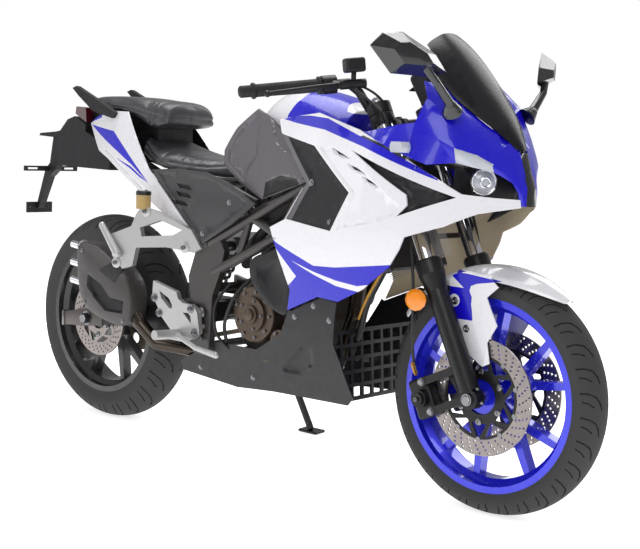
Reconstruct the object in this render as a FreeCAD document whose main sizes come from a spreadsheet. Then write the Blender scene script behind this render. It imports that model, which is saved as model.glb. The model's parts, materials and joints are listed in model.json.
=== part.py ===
"""A 17-inch-wheeled sport bike, standing on its side stand, as separate solids."""
import FreeCAD, Part
import math
import os

import Sketcher
from FreeCAD import Placement, Rotation, Vector

os.makedirs("parts", exist_ok=True)
doc = FreeCAD.newDocument("SportBike")

# Driving sizes in millimetres and degrees, kept in the sheet
SIZES = {
    "wheelbase": 1380,
    "rake": 25,
    "trail": 95,
    "lean": 3.2,
    "front_tyre_radius": 284,
    "front_tyre_half_width": 52,
    "rear_tyre_radius": 308,
    "rear_tyre_half_width": 68,
    "rim_radius": 229.9,
    "front_rim_half_width": 46,
    "rear_rim_half_width": 58,
    "spoke_half_depth": 15,
    "axle_radius": 10,
    "bearing_fit": 0.05,
    "seat_gap": 0.3,
    "front_disc_radius": 137.5,
    "front_disc_offset": 63,
    "rear_disc_radius": 116,
    "rear_disc_offset": 68,
    "disc_thickness": 4.5,
    "tube_spacing": 98,
    "stanchion_radius": 20.5,
    "lower_leg_radius": 25,
    "lower_leg_length": 332,
    "lower_yoke_height": 500,
    "upper_yoke_height": 690,
    "head_tube_radius": 27,
    "stem_radius": 15,
    "bar_radius": 11,
    "grip_radius": 16,
    "chain_offset": 80,
    "chain_pitch": 15.875,
    "rear_teeth": 43,
    "front_teeth": 14,
    "front_sprocket_ahead": 610,
    "pivot_ahead": 520,
    "pivot_height": 385,
    "pivot_radius": 15,
    "plate_inner": 118,
    "plate_thickness": 24,
    "rail_radius": 16,
    "brace_radius": 11,
    "subframe_radius": 12,
    "panel_wall": 4,
    "body_half_width": 230,
    "nose_ahead": 1460,
    "engine_half_width": 105,
    "radiator_half_width": 118,
    "radiator_thickness": 30,
    "header_radius": 19,
    "muffler_inner": 124,
    "muffler_width": 70,
    "stand_radius": 10,
    "stand_reach": 245,
}

sheet = doc.addObject("Spreadsheet::Sheet", "Sizes")
for row, (alias, number) in enumerate(SIZES.items(), start=1):
    sheet.set(f"A{row}", alias)
    sheet.set(f"B{row}", str(number))
    sheet.setAlias(f"B{row}", alias)
doc.recompute()


class Dim:
    """A size that knows its number and the sheet expression that it comes from."""

    def __init__(self, number, text):
        self.number = float(number)
        self.text = text

    def __float__(self):
        return self.number

    def __add__(self, other):
        return Dim(self.number + float(other), f"({self.text} + {wording(other)})")

    def __radd__(self, other):
        return self + other

    def __sub__(self, other):
        return Dim(self.number - float(other), f"({self.text} - {wording(other)})")

    def __rsub__(self, other):
        return Dim(float(other) - self.number, f"({wording(other)} - {self.text})")

    def __mul__(self, other):
        return Dim(self.number * float(other), f"({self.text} * {wording(other)})")

    def __rmul__(self, other):
        return self * other

    def __truediv__(self, other):
        return Dim(self.number / float(other), f"({self.text} / {wording(other)})")

    def __neg__(self):
        return Dim(-self.number, f"(0 - {self.text})")


def wording(value):
    """The sheet expression of a size, or a plain number as text."""
    return value.text if isinstance(value, Dim) else f"({float(value):.6f})"


def size(alias):
    """The named size, read from the sheet."""
    return Dim(sheet.get(alias), f"Sizes.{alias}")


def point(x, y, z):
    """A vector from sizes or plain numbers."""
    return Vector(float(x), float(y), float(z))


def bind(thing, name, value):
    """Sets a property and ties it to the sheet when the value is a size."""
    setattr(thing, name, float(value))
    if isinstance(value, Dim):
        thing.setExpression(name, value.text)


nodes = []


def node(thing, label):
    """Marks a finished object as one sub-part and gives it its label."""
    thing.Label = label
    nodes.append(thing)
    return thing


# Shape helpers: primitives, booleans and sketched bodies
UP = Vector(0, 0, 1)
LEFT = Vector(0, 1, 0)
FORWARD = Vector(1, 0, 0)


def rod(name, radius, start, end):
    """A round bar from one point to another."""
    bar = doc.addObject("Part::Cylinder", name)
    bind(bar, "Radius", radius)
    run = end - start
    bar.Height = run.Length
    bar.Placement = Placement(start, Rotation(UP, run))
    return bar


def disc(name, radius, half_width, centre):
    """A short cylinder across the bike, centred on a point."""
    start = centre - LEFT * float(half_width)
    bar = rod(name, radius, start, centre + LEFT * float(half_width))
    if isinstance(half_width, Dim):
        bar.setExpression("Height", (half_width * 2).text)
    return bar


def block(name, corner, length, width, height, turn=None):
    """A box from its corner, turned about that corner if asked."""
    box = doc.addObject("Part::Box", name)
    bind(box, "Length", length)
    bind(box, "Width", width)
    bind(box, "Height", height)
    box.Placement = Placement(corner, turn or Rotation())
    return box


def fuse(name, pieces):
    """Joins pieces into one object."""
    joined = doc.addObject("Part::MultiFuse", name)
    joined.Shapes = pieces
    return joined


def cut(name, base, tool):
    """Takes one piece out of another."""
    left = doc.addObject("Part::Cut", name)
    left.Base = base
    left.Tool = tool
    return left


def feature(name, shape):
    """A free-form piece whose shape is worked out here from the sizes."""
    piece = doc.addObject("Part::Feature", name)
    piece.Shape = shape
    return piece


def mirrored(name, source):
    """The same piece on the other side of the bike's centre plane."""
    other = doc.addObject("Part::Mirroring", name)
    other.Source = source
    other.Base = Vector(0, 0, 0)
    other.Normal = LEFT
    return other


def both_sides(name, right):
    """A piece and its mirror image, as two solids of one object."""
    return fuse(name, [right, mirrored(name + "_mirror", right)])


def origin_plane(body, role):
    """One of a body's own origin planes, by its role."""
    for item in body.Origin.OriginFeatures:
        if item.Role == role:
            return item
    raise ValueError(role)


def sketch(body, role, corners, name, circles=()):
    """A closed outline on an origin plane, every corner tied to the sheet.

    A corner is (x, y), or (x, y, radius) where the edge that leaves it is an arc,
    which bulges to the left of the way round for a positive radius.
    """
    drawing = body.newObject("Sketcher::SketchObject", name)
    drawing.AttachmentSupport = [(origin_plane(body, role), "")]
    drawing.MapMode = "FlatFace"
    starts = []
    ends = []
    for index, corner in enumerate(corners):
        after = corners[(index + 1) % len(corners)]
        one = point(corner[0], corner[1], 0)
        two = point(after[0], after[1], 0)
        if len(corner) == 3:
            bulge = float(corner[2])
            middle = (one + two) * 0.5
            half = (two - one).Length / 2
            side = Vector(one.y - two.y, two.x - one.x, 0).normalize()
            rise = abs(bulge) - math.sqrt(bulge * bulge - half * half)
            top = middle + side * math.copysign(rise, bulge)
            edge = drawing.addGeometry(Part.ArcOfCircle(one, top, two), False)
            forward = bulge < 0
            starts.append((edge, 1 if forward else 2))
            ends.append((edge, 2 if forward else 1))
            drawing.addConstraint(Sketcher.Constraint("Radius", edge, abs(bulge)))
            if isinstance(corner[2], Dim):
                place = drawing.ConstraintCount - 1
                drawing.setExpression(f"Constraints[{place}]", f"abs({corner[2].text})")
        else:
            edge = drawing.addGeometry(Part.LineSegment(one, two), False)
            starts.append((edge, 1))
            ends.append((edge, 2))
    for index, corner in enumerate(corners):
        drawing.addConstraint(Sketcher.Constraint("Coincident", *ends[index - 1], *starts[index]))
        for kind, value in (("DistanceX", corner[0]), ("DistanceY", corner[1])):
            drawing.addConstraint(Sketcher.Constraint(kind, -1, 1, *starts[index], float(value)))
            if isinstance(value, Dim):
                place = drawing.ConstraintCount - 1
                drawing.setExpression(f"Constraints[{place}]", value.text)
    for centre_x, centre_y, radius in circles:
        ring = drawing.addGeometry(Part.Circle(point(centre_x, centre_y, 0), UP, float(radius)), False)
        parts = (("DistanceX", (-1, 1, ring, 3), centre_x), ("DistanceY", (-1, 1, ring, 3), centre_y),
                 ("Radius", (ring,), radius))
        for kind, where, value in parts:
            drawing.addConstraint(Sketcher.Constraint(kind, *where, float(value)))
            if isinstance(value, Dim):
                drawing.setExpression(f"Constraints[{drawing.ConstraintCount - 1}]", value.text)
    return drawing


def body_of(name):
    """An empty sketched body."""
    return doc.addObject("PartDesign::Body", name)


def revolve(body, drawing, name):
    """Turns a drawing a full turn about its upright axis."""
    turned = body.newObject("PartDesign::Revolution", name)
    turned.Profile = drawing
    turned.ReferenceAxis = (drawing, ["V_Axis"])
    turned.Angle = 360
    return turned


def pad(body, drawing, depth, name):
    """Thickens a drawing to both sides of its plane."""
    thick = body.newObject("PartDesign::Pad", name)
    thick.Profile = drawing
    bind(thick, "Length", depth)
    thick.SideType = "Symmetric"
    return thick


def pocket(body, drawing, name):
    """Cuts a drawing right through, to both sides of its plane."""
    hole = body.newObject("PartDesign::Pocket", name)
    hole.Profile = drawing
    hole.Length = 400
    hole.SideType = "Symmetric"
    return hole


def pattern(body, item, count, name):
    """Repeats a feature about the body's axis across the bike."""
    ring = body.newObject("PartDesign::PolarPattern", name)
    ring.Originals = [item]
    ring.Axis = (origin_plane(body, "Y_Axis"), [""])
    ring.Angle = 360
    ring.Occurrences = count
    body.Tip = ring
    return ring


# Wheels
FRONT_AXLE = point(size("wheelbase"), 0, size("front_tyre_radius"))
REAR_AXLE = point(0, 0, size("rear_tyre_radius"))
bore = size("axle_radius") + size("bearing_fit")


def rim_profile(half):
    """One side of the rim well's outline, from flange to drop centre, as (radius, across)."""
    edge = size("rim_radius")
    outside = [(edge, half), (edge - 1, half - 5), (edge - 14, half - 6), (edge - 14, half - 20),
               (edge - 27, half - 30)]
    inside = [(edge - 33, half - 28), (edge - 20, half - 16), (edge - 18, half)]
    return outside, inside


def other_side(corners):
    """The same corners on the other side of the wheel's middle plane, in turned order."""
    return [(radius, -across) for radius, across in reversed(corners)]


def make_rim(name, half, hub_right, hub_left, hub_radius, first_spoke):
    """A cast rim: well, hub and five spokes that each fork into two arms."""
    rim = body_of(name)
    outside, inside = rim_profile(half)
    revolve(rim, sketch(rim, "XY_Plane", outside + other_side(outside) + other_side(inside) + inside,
                        name + "_well_sketch"), name + "_well")
    flange = hub_radius + 10
    hub = [(bore, hub_left), (flange, hub_left), (flange, hub_left - 9), (hub_radius, hub_left - 22),
           (hub_radius, 22 - hub_right), (flange, 9 - hub_right), (flange, -hub_right), (bore, -hub_right)]
    revolve(rim, sketch(rim, "XY_Plane", hub, name + "_hub_sketch"), name + "_hub")
    reach = size("rim_radius") - 25
    fork_start = 73
    root = 17
    arm = 8.5
    spread = 58
    spoke = [(hub_radius - 6, -root), (fork_start, -root), (reach, -spread - arm), (reach, arm - spread),
             (fork_start + 30, -4), (fork_start + 30, 4), (reach, spread - arm), (reach, spread + arm),
             (fork_start, root), (hub_radius - 6, root)]
    arms = pad(rim, sketch(rim, "XZ_Plane", spoke, name + "_spoke_sketch"), size("spoke_half_depth") * 2,
               name + "_spoke")
    pattern(rim, arms, 5, name + "_spokes")
    return rim, Rotation(LEFT, -first_spoke)


def make_tyre(name, radius, half_width, rim_half):
    """A tubeless tyre: bead, bulged side wall and round crown, open inside."""
    tyre = body_of(name)
    seat = size("rim_radius") - 14 + size("seat_gap")
    bead = rim_half - 6 - size("seat_gap")
    wall = 9
    shoulder = size("rim_radius") + 26
    crown = half_width * 1.1
    outline = [(seat, bead), (size("rim_radius") + 1, bead + 1, 40), (shoulder, half_width, crown),
               (radius, 0, crown), (shoulder, -half_width, 40), (size("rim_radius") + 1, -bead - 1),
               (seat, -bead), (seat, 12 - bead), (shoulder, wall - half_width, -crown),
               (radius - wall, 0, -crown), (shoulder, half_width - wall), (seat, bead - 12)]
    revolve(tyre, sketch(tyre, "XY_Plane", outline, name + "_sketch"), name + "_ring")
    return tyre


def make_disc_carrier(name, radius, inner, middle, hole_radius, windows):
    """A brake disc ring on its carrier, with windows between the carrier's arms."""
    plate = body_of(name)
    ring = [(radius, size("disc_thickness") / 2), (radius, -size("disc_thickness") / 2),
            (hole_radius, -size("disc_thickness") / 2), (hole_radius, size("disc_thickness") / 2)]
    revolve(plate, sketch(plate, "XY_Plane", ring, name + "_ring_sketch"), name + "_ring")
    step = math.radians(180 / windows)
    low = inner + 2
    high = middle
    window = [(low * math.cos(-step * 0.55), low * math.sin(-step * 0.55)),
              (high * math.cos(-step * 0.78), high * math.sin(-step * 0.78), -high),
              (high * math.cos(step * 0.78), high * math.sin(step * 0.78)),
              (low * math.cos(step * 0.55), low * math.sin(step * 0.55))]
    hole = pocket(plate, sketch(plate, "XZ_Plane", window, name + "_window_sketch"), name + "_window")
    pattern(plate, hole, windows, name + "_windows")
    return plate


hub_half = size("front_disc_offset") - size("disc_thickness") / 2 - size("seat_gap")
front_rim, front_turn = make_rim("front_rim", size("front_rim_half_width"), hub_half, hub_half, 34, 29)
front_rim.Placement = Placement(FRONT_AXLE, front_turn)
node(front_rim, "front_rim")
front_tyre = make_tyre("front_tyre", size("front_tyre_radius"), size("front_tyre_half_width"),
                       size("front_rim_half_width"))
front_tyre.Placement = Placement(FRONT_AXLE, Rotation())
node(front_tyre, "front_tyre")

right_disc = make_disc_carrier("right_disc", size("front_disc_radius"), 56, 96, 22, 6)
right_disc.Placement = Placement(FRONT_AXLE - LEFT * float(size("front_disc_offset")), front_turn)
node(both_sides("front_discs", right_disc), "front_discs")

rear_hub_right = size("rear_disc_offset") - size("disc_thickness") / 2 - size("seat_gap")
rear_hub_left = size("chain_offset") - 3 - size("seat_gap")
rear_rim, rear_turn = make_rim("rear_rim", size("rear_rim_half_width"), rear_hub_right, rear_hub_left, 38, 12)
rear_rim.Placement = Placement(REAR_AXLE, rear_turn)
node(rear_rim, "rear_rim")
rear_tyre = make_tyre("rear_tyre", size("rear_tyre_radius"), size("rear_tyre_half_width"),
                      size("rear_rim_half_width"))
rear_tyre.Placement = Placement(REAR_AXLE, Rotation())
node(rear_tyre, "rear_tyre")
rear_disc = make_disc_carrier("rear_disc", size("rear_disc_radius"), 48, 80, 22, 6)
rear_disc.Placement = Placement(REAR_AXLE - LEFT * float(size("rear_disc_offset")), Rotation())
node(rear_disc, "rear_disc")


def pitch_radius(teeth):
    """Pitch circle radius of a chain sprocket."""
    return size("chain_pitch").number / (2 * math.sin(math.pi / teeth))


def sprocket(teeth, bore_radius, windows, half=3):
    """A chain sprocket about its own centre: sloped tooth flanks and lightening holes."""
    pitch = pitch_radius(teeth)
    tip = pitch + 4
    root = pitch - 5
    outline = []
    for tooth in range(teeth):
        middle = 2 * math.pi * tooth / teeth
        step = 2 * math.pi / teeth
        for share, radius in ((-0.32, root), (-0.1, tip), (0.1, tip), (0.32, root)):
            angle = middle + share * step
            outline.append((radius * math.cos(angle), radius * math.sin(angle)))
    shape = Part.Face(Part.makePolygon([Vector(x, 0, z) for x, z in outline + outline[:1]]))
    solid = shape.extrude(Vector(0, 2 * half, 0))
    solid.translate(Vector(0, -half, 0))
    solid = solid.cut(Part.makeCylinder(bore_radius, 4 * half, Vector(0, -2 * half, 0), LEFT))
    for window in range(windows):
        angle = 2 * math.pi * window / windows
        centre = Vector(0.72 * pitch * math.cos(angle), -2 * half, 0.72 * pitch * math.sin(angle))
        solid = solid.cut(Part.makeCylinder(0.15 * pitch, 4 * half, centre, LEFT))
    return solid


rear_sprocket = feature("rear_sprocket", sprocket(int(sheet.get("rear_teeth")), 22, 8))
rear_sprocket.Placement = Placement(REAR_AXLE + LEFT * float(size("chain_offset")), Rotation())
node(rear_sprocket, "rear_sprocket")

# Fork, in its own frame: forward, left and up along the steering axis from the front axle
rake = math.radians(float(size("rake")))
FORK = Placement(FRONT_AXLE, Rotation(LEFT, -float(size("rake"))))
STEM_BACK = size("front_tyre_radius").number * math.sin(rake) - size("trail").number * math.cos(rake)


def in_fork(piece):
    """Stands a piece made in the fork's own frame at the front axle."""
    piece.Placement = FORK.multiply(piece.Placement)
    return piece


def from_fork(x, y, z):
    """A place in the fork's frame as a place on the bike."""
    return FORK.multVec(point(x, y, z))


tube_y = size("tube_spacing")
right_tube = Vector(0, -float(tube_y), 0)
upper_z = float(size("upper_yoke_height"))
lower_z = float(size("lower_yoke_height"))
stanchion_top = upper_z + 42

stanchion = rod("stanchion_tube", size("stanchion_radius"), right_tube + UP * 130, right_tube + UP * stanchion_top)
cap = rod("stanchion_cap", size("stanchion_radius") - 4, right_tube + UP * (stanchion_top - 1),
          right_tube + UP * (stanchion_top + 6))
node(in_fork(both_sides("fork_stanchions", fuse("stanchion_right", [stanchion, cap]))), "fork_stanchions")


def lower_leg():
    """A lower fork leg with a flared top, an axle lug and the caliper's two ears."""
    top = float(size("lower_leg_length"))
    radius = size("lower_leg_radius")
    tube = rod("leg_tube", radius, right_tube + UP * 18, right_tube + UP * (top - 60))
    flare = doc.addObject("Part::Cone", "leg_flare")
    bind(flare, "Radius1", radius)
    bind(flare, "Radius2", radius + 7)
    flare.Height = 40
    flare.Placement = Placement(right_tube + UP * (top - 70), Rotation())
    collar = rod("leg_collar", radius + 7, right_tube + UP * (top - 30), right_tube + UP * top)
    lug = disc("leg_lug", radius - 1, 17, right_tube)
    ears = [block("leg_ear_low", right_tube + Vector(-128, -9.3, -6), 118, 10, 18),
            block("leg_ear_high", right_tube + Vector(-128, -9.3, 66), 118, 10, 18)]
    solid = fuse("leg_solid", [tube, flare, collar, lug] + ears)
    hole = rod("leg_bore", size("stanchion_radius") + size("bearing_fit"), right_tube + UP * 129.9,
               right_tube + UP * (top + 1))
    axle_hole = disc("leg_axle_hole", bore, 40, right_tube)
    return cut("leg_right", solid, fuse("leg_holes", [hole, axle_hole]))


node(in_fork(both_sides("fork_lower_legs", lower_leg())), "fork_lower_legs")

axle_end = tube_y + 7 + 17
spacer_start = hub_half + size("seat_gap")
spacer_end = tube_y - 17 - size("seat_gap")
axle = disc("axle_bar", size("axle_radius"), axle_end - 10, Vector())
heads = disc("axle_heads", 14, axle_end, Vector())
heads_gap = disc("axle_heads_gap", 30, tube_y + 17 + size("seat_gap"), Vector())
spacers = disc("axle_spacers", 15, spacer_end, Vector())
spacers_gap = disc("axle_spacers_gap", 30, spacer_start, Vector())
node(in_fork(fuse("front_axle", [axle, cut("axle_head_pair", heads, heads_gap),
                                 cut("axle_spacer_pair", spacers, spacers_gap)])), "front_axle")


def yoke(name, height, thickness, clamp):
    """A fork yoke: two tube clamps and the stem clamp on one web, with open bores."""
    low = UP * (height - thickness / 2)
    high = UP * (height + thickness / 2)
    back = Vector(-STEM_BACK, 0, 0)
    rings = [rod(f"{name}_ring_{side}", clamp, Vector(0, side * float(tube_y), 0) + low,
                 Vector(0, side * float(tube_y), 0) + high) for side in (-1, 1)]
    middle = rod(name + "_stem_ring", clamp, back + low, back + high)
    web = body_of(name + "_web")
    half = float(tube_y)
    corners = [(-STEM_BACK - clamp, -14), (-STEM_BACK - clamp, 14), (-6, tube_y + 6), (16, tube_y),
               (-STEM_BACK + 22, 0), (16, -half), (-6, -half - 6)]
    pad(web, sketch(web, "XY_Plane", corners, name + "_sketch"), thickness * 0.7, name + "_pad")
    web.Placement = Placement(UP * height, Rotation())
    solid = fuse(name + "_solid", rings + [middle, web])
    bores = [rod(f"{name}_bore_{side}", size("stanchion_radius") + size("bearing_fit"),
                 Vector(0, side * half, 0) + low - UP, Vector(0, side * half, 0) + high + UP)
             for side in (-1, 1)]
    return cut(name, solid, fuse(name + "_bores", bores))


stem_low = Vector(-STEM_BACK, 0, lower_z - 10)
stem_high = Vector(-STEM_BACK, 0, upper_z + 10)
stem = rod("stem_tube", size("stem_radius"), stem_low, stem_high)
stem_nut = rod("stem_nut", size("stem_radius") + 3, stem_high, stem_high + UP * 12)
yokes = fuse("steering_yokes", [yoke("lower_yoke", lower_z, 36, 31), yoke("upper_yoke", upper_z, 24, 30),
                                stem, stem_nut])
node(in_fork(yokes), "steering_yokes")


def bent_tube(points, radius):
    """Straight round runs with a ball at every bend, as one solid."""
    solids = []
    for start, end in zip(points, points[1:]):
        run = end - start
        solids.append(Part.makeCylinder(radius, run.Length, start, run))
    for joint in points[1:-1]:
        solids.append(Part.makeSphere(radius, joint))
    return solids[0].multiFuse(solids[1:]).removeSplitter() if len(solids) > 1 else solids[0]


def mirror_shape(shape):
    """The same shape on the other side of the centre plane."""
    return shape.mirror(Vector(0, 0, 0), LEFT)


def pair(shape):
    """A right-hand shape and its mirror image."""
    return Part.makeCompound([shape, mirror_shape(shape)])


clamp_z = upper_z + 27
CLAMP = from_fork(0, -tube_y, clamp_z)
GRIP_INNER = CLAMP + Vector(-84, -122, 52)
BAR_END = GRIP_INNER + Vector(-90, -140, -21)
bar_way = (BAR_END - GRIP_INNER).normalize()


def clip_on():
    """A right-hand clip-on bar: tube clamp, rising arm and bar."""
    axis = FORK.Rotation.multVec(UP)
    ring = Part.makeCylinder(30, 26, CLAMP - axis * 13, axis)
    arm = bent_tube([CLAMP + Vector(-20, -12, 0), CLAMP + Vector(-34, -38, 42), GRIP_INNER - bar_way * 70,
                     BAR_END], float(size("bar_radius")))
    solid = ring.fuse(arm)
    hole = Part.makeCylinder(float(size("stanchion_radius") + size("bearing_fit")), 60, CLAMP - axis * 30, axis)
    return solid.cut(hole)


node(feature("clip_on_bars", pair(clip_on())), "clip_on_bars")


def grip():
    """A right-hand grip with end flanges and a bar-end weight beyond it."""
    fit = float(size("bar_radius") + size("bearing_fit"))
    radius = float(size("grip_radius"))
    length = (BAR_END - GRIP_INNER).Length
    profile = [(fit, 0), (radius + 5, 0), (radius + 5, 5), (radius, 8), (radius - 1, length - 14),
               (radius + 3, length - 8), (radius + 3, length - 4), (radius - 2, length),
               (radius - 2, length + 24), (radius - 6, length + 28), (0, length + 28), (0, length + 0.3),
               (fit, length + 0.3)]
    wire = Part.makePolygon([Vector(x, 0, z) for x, z in profile + profile[:1]])
    turned = Part.Face(wire).revolve(Vector(), UP, 360)
    turned.Placement = Placement(GRIP_INNER, Rotation(UP, bar_way))
    return turned


node(feature("handlebar_grips", pair(grip())), "handlebar_grips")


def hull_bar(points, radii):
    """A tapering bar through points, with round ends."""
    solids = [Part.makeSphere(radius, place) for place, radius in zip(points, radii)]
    for index in range(len(points) - 1):
        run = points[index + 1] - points[index]
        if abs(radii[index] - radii[index + 1]) < 0.01:
            solids.append(Part.makeCylinder(radii[index], run.Length, points[index], run))
        else:
            solids.append(Part.makeCone(radii[index], radii[index + 1], run.Length, points[index], run))
    return solids[0].multiFuse(solids[1:])


def turned_block(length, width, height, centre, x_way, up_way):
    """A box about its centre, with its length along one way and its height near another."""
    box = Part.makeBox(length, width, height, Vector(-length / 2, -width / 2, -height / 2))
    box = box.makeFillet(min(width, height, length) * 0.2, box.Edges)
    side = up_way.cross(x_way).normalize()
    box.Placement = Placement(centre, Rotation(x_way, side, up_way, "XZY"))
    return box


def bar_controls():
    """Switch housing, brake lever and its master cylinder on the right-hand bar."""
    start = GRIP_INNER - bar_way * 38
    housing = Part.makeCylinder(22, 34, start, bar_way)
    ahead = Vector(0, 0, 1).cross(bar_way).normalize() * -1
    if ahead.x < 0:
        ahead = ahead * -1
    pivot = start + ahead * 34 + Vector(0, 0, -4)
    perch = hull_bar([start + bar_way * 8 + ahead * 18, pivot], [9, 9])
    lever = hull_bar([pivot, pivot + bar_way * 60 + ahead * 16, pivot + bar_way * 178 + ahead * 20 - UP * 6],
                     [8, 5.5, 5.5])
    knob = Part.makeSphere(8, pivot + bar_way * 178 + ahead * 20 - UP * 6)
    cylinder = Part.makeCylinder(11, 62, pivot - bar_way * 2, bar_way * -1)
    neck = Part.makeCylinder(6, 34, pivot - bar_way * 34, UP)
    tank = turned_block(48, 40, 34, pivot - bar_way * 34 + UP * 44, bar_way, UP)
    solid = housing.multiFuse([perch, lever, knob, cylinder, neck, tank])
    hole = Part.makeCylinder(float(size("bar_radius") + size("bearing_fit")), 90, start - bar_way * 20, bar_way)
    return solid.cut(hole)


node(feature("bar_controls", pair(bar_controls())), "bar_controls")


def caliper():
    """A sliding front brake caliper over the disc's rear edge, with its two pin ears."""
    offset = float(size("front_disc_offset"))
    body = Part.makeBox(58, 52, 96, Vector(-168, -offset - 34, -8))
    body = body.makeFillet(9, body.Edges)
    slot = Part.makeBox(60, 9, 140, Vector(-150, -offset - 4.5, -30))
    slot = slot.fuse(Part.makeCylinder(float(size("front_disc_radius")) + 5, 9, Vector(0, -offset - 4.5, 0), LEFT))
    piston = Part.makeCylinder(21, 16, Vector(-137, -offset - 34, 40), LEFT * -1)
    piston = piston.fuse(Part.makeCylinder(15, 6, Vector(-137, -offset - 50, 40), LEFT * -1))
    return body.fuse(piston).cut(slot)


calipers = feature("front_calipers", pair(caliper()))
node(in_fork(calipers), "front_calipers")


def shell_from_grid(rows, wall):
    """A curved wall through a grid of outer points, thickened to the inside of its normals."""
    count_u = len(rows)
    count_v = len(rows[0])
    inner = []
    for u in range(count_u):
        line = []
        for v in range(count_v):
            along = rows[min(u + 1, count_u - 1)][v] - rows[max(u - 1, 0)][v]
            across = rows[u][min(v + 1, count_v - 1)] - rows[u][max(v - 1, 0)]
            line.append(rows[u][v] - along.cross(across).normalize() * wall)
        inner.append(line)
    faces = []
    edges = []
    for grid in (rows, inner):
        surface = Part.BSplineSurface()
        surface.interpolate(grid)
        face = surface.toShape()
        faces.append(face)
        edges.append([surface.uIso(surface.bounds()[0]).toShape(), surface.uIso(surface.bounds()[1]).toShape(),
                      surface.vIso(surface.bounds()[2]).toShape(), surface.vIso(surface.bounds()[3]).toShape()])
    for outer_edge, inner_edge in zip(*edges):
        faces.append(Part.makeRuledSurface(outer_edge, inner_edge))
    skin = Part.makeShell(faces)
    skin.sewShape()
    solid = Part.Solid(Part.Shell(skin.Faces))
    solid.fix(0.01, 0.01, 0.01)
    if solid.Volume < 0:
        solid.reverse()
    return solid


def folded_wall(strips, wall):
    """A wall of flat facets between pairs of right-hand lines and their mirror images."""
    corners = {}
    facets = []
    for one, two in strips:
        for first, after, over, beside in zip(one, one[1:], two[1:], two):
            facets += [(first, after, over), (first, over, beside)]
    facets += [tuple((x, -y, z) for x, y, z in reversed(facet)) for facet in facets]
    rims = {}
    for facet in facets:
        a, b, c = (Vector(*corner) for corner in facet)
        normal = (b - a).cross(c - a)
        for corner, after in zip(facet, facet[1:] + facet[:1]):
            corners[corner] = corners.get(corner, Vector()) + normal
            if (after, corner) in rims:
                del rims[(after, corner)]
            else:
                rims[(corner, after)] = True
    outer = {corner: Vector(*corner) for corner in corners}
    inner = {corner: outer[corner] - normal.normalize() * wall for corner, normal in corners.items()}
    triangles = [[outer[corner] for corner in facet] for facet in facets]
    triangles += [[inner[corner] for corner in reversed(facet)] for facet in facets]
    for start, end in rims:
        triangles.append([outer[start], inner[start], outer[end]])
        triangles.append([outer[end], inner[start], inner[end]])
    faces = [Part.Face(Part.makePolygon(places + places[:1])) for places in triangles]
    skin = Part.makeShell(faces)
    skin.sewShape()
    solid = Part.Solid(Part.Shell(skin.Faces))
    if solid.Volume < 0:
        solid.reverse()
    return solid.removeSplitter()


def wheel_arc(centre, radius, angle, y):
    """A place at an angle above straight ahead, round a wheel centre."""
    turn = math.radians(angle)
    return centre + Vector(radius * math.cos(turn), y, radius * math.sin(turn))


def fender():
    """The front fender: a crowned blade over the tyre with a side leg down each fork leg."""
    crown = float(size("front_tyre_radius")) + 19
    half = float(tube_y) - float(size("lower_leg_radius")) - 2.8
    rows = []
    for angle in range(52, 146, 13):
        share = (angle - 52) / 91
        pinch = 1 - 0.75 * (1 - share) ** 6
        row = []
        for step in range(-4, 5):
            part = step / 4
            drop = 34 * abs(part) ** 2.4 * pinch
            row.append(wheel_arc(FRONT_AXLE, crown - drop, angle, part * half * pinch))
        rows.append(row)
    blade = shell_from_grid(rows, -3)
    leg_outline = [(1248, 540), (1286, 455), (1275, 423), (1386, 356), (1405, 365), (1396, 412), (1421, 454),
                   (1403, 488), (1390, 515), (1420, 541), (1390, 566), (1340, 572), (1296, 560), (1284, 546)]
    wire = Part.makePolygon([Vector(x, 0, z) for x, z in leg_outline + leg_outline[:1]])
    plate = Part.Face(wire).extrude(Vector(0, 2.7, 0))
    plate.translate(Vector(0, -half - 2.5, 0))
    gap = float(size("lower_leg_radius")) + 7.3
    sleeves = [Part.makeCylinder(gap, 100, from_fork(0, side * float(tube_y), 250), FORK.Rotation.multVec(UP))
               for side in (-1, 1)]
    return blade.multiFuse([plate, mirror_shape(plate)]).cut(Part.makeCompound(sleeves))


front_fender = fender()
node(feature("front_fender", front_fender), "front_fender")


def plate_from(corners, y_start, thickness):
    """A flat plate from an outline in side view."""
    wire = Part.makePolygon([point(x, 0, z) for x, z in corners + corners[:1]])
    flat = Part.Face(wire).extrude(Vector(0, float(thickness), 0))
    flat.translate(Vector(0, float(y_start), 0))
    return flat


# Frame: head tube, trellis rails and pivot plates, welded up as one piece
PIVOT_PLATE = [(498, 556), (520, 592), (584, 599), (606, 560), (592, 500), (566, 440), (562, 380), (556, 296),
               (540, 272), (496, 276), (464, 330), (478, 420), (470, 480)]


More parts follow.
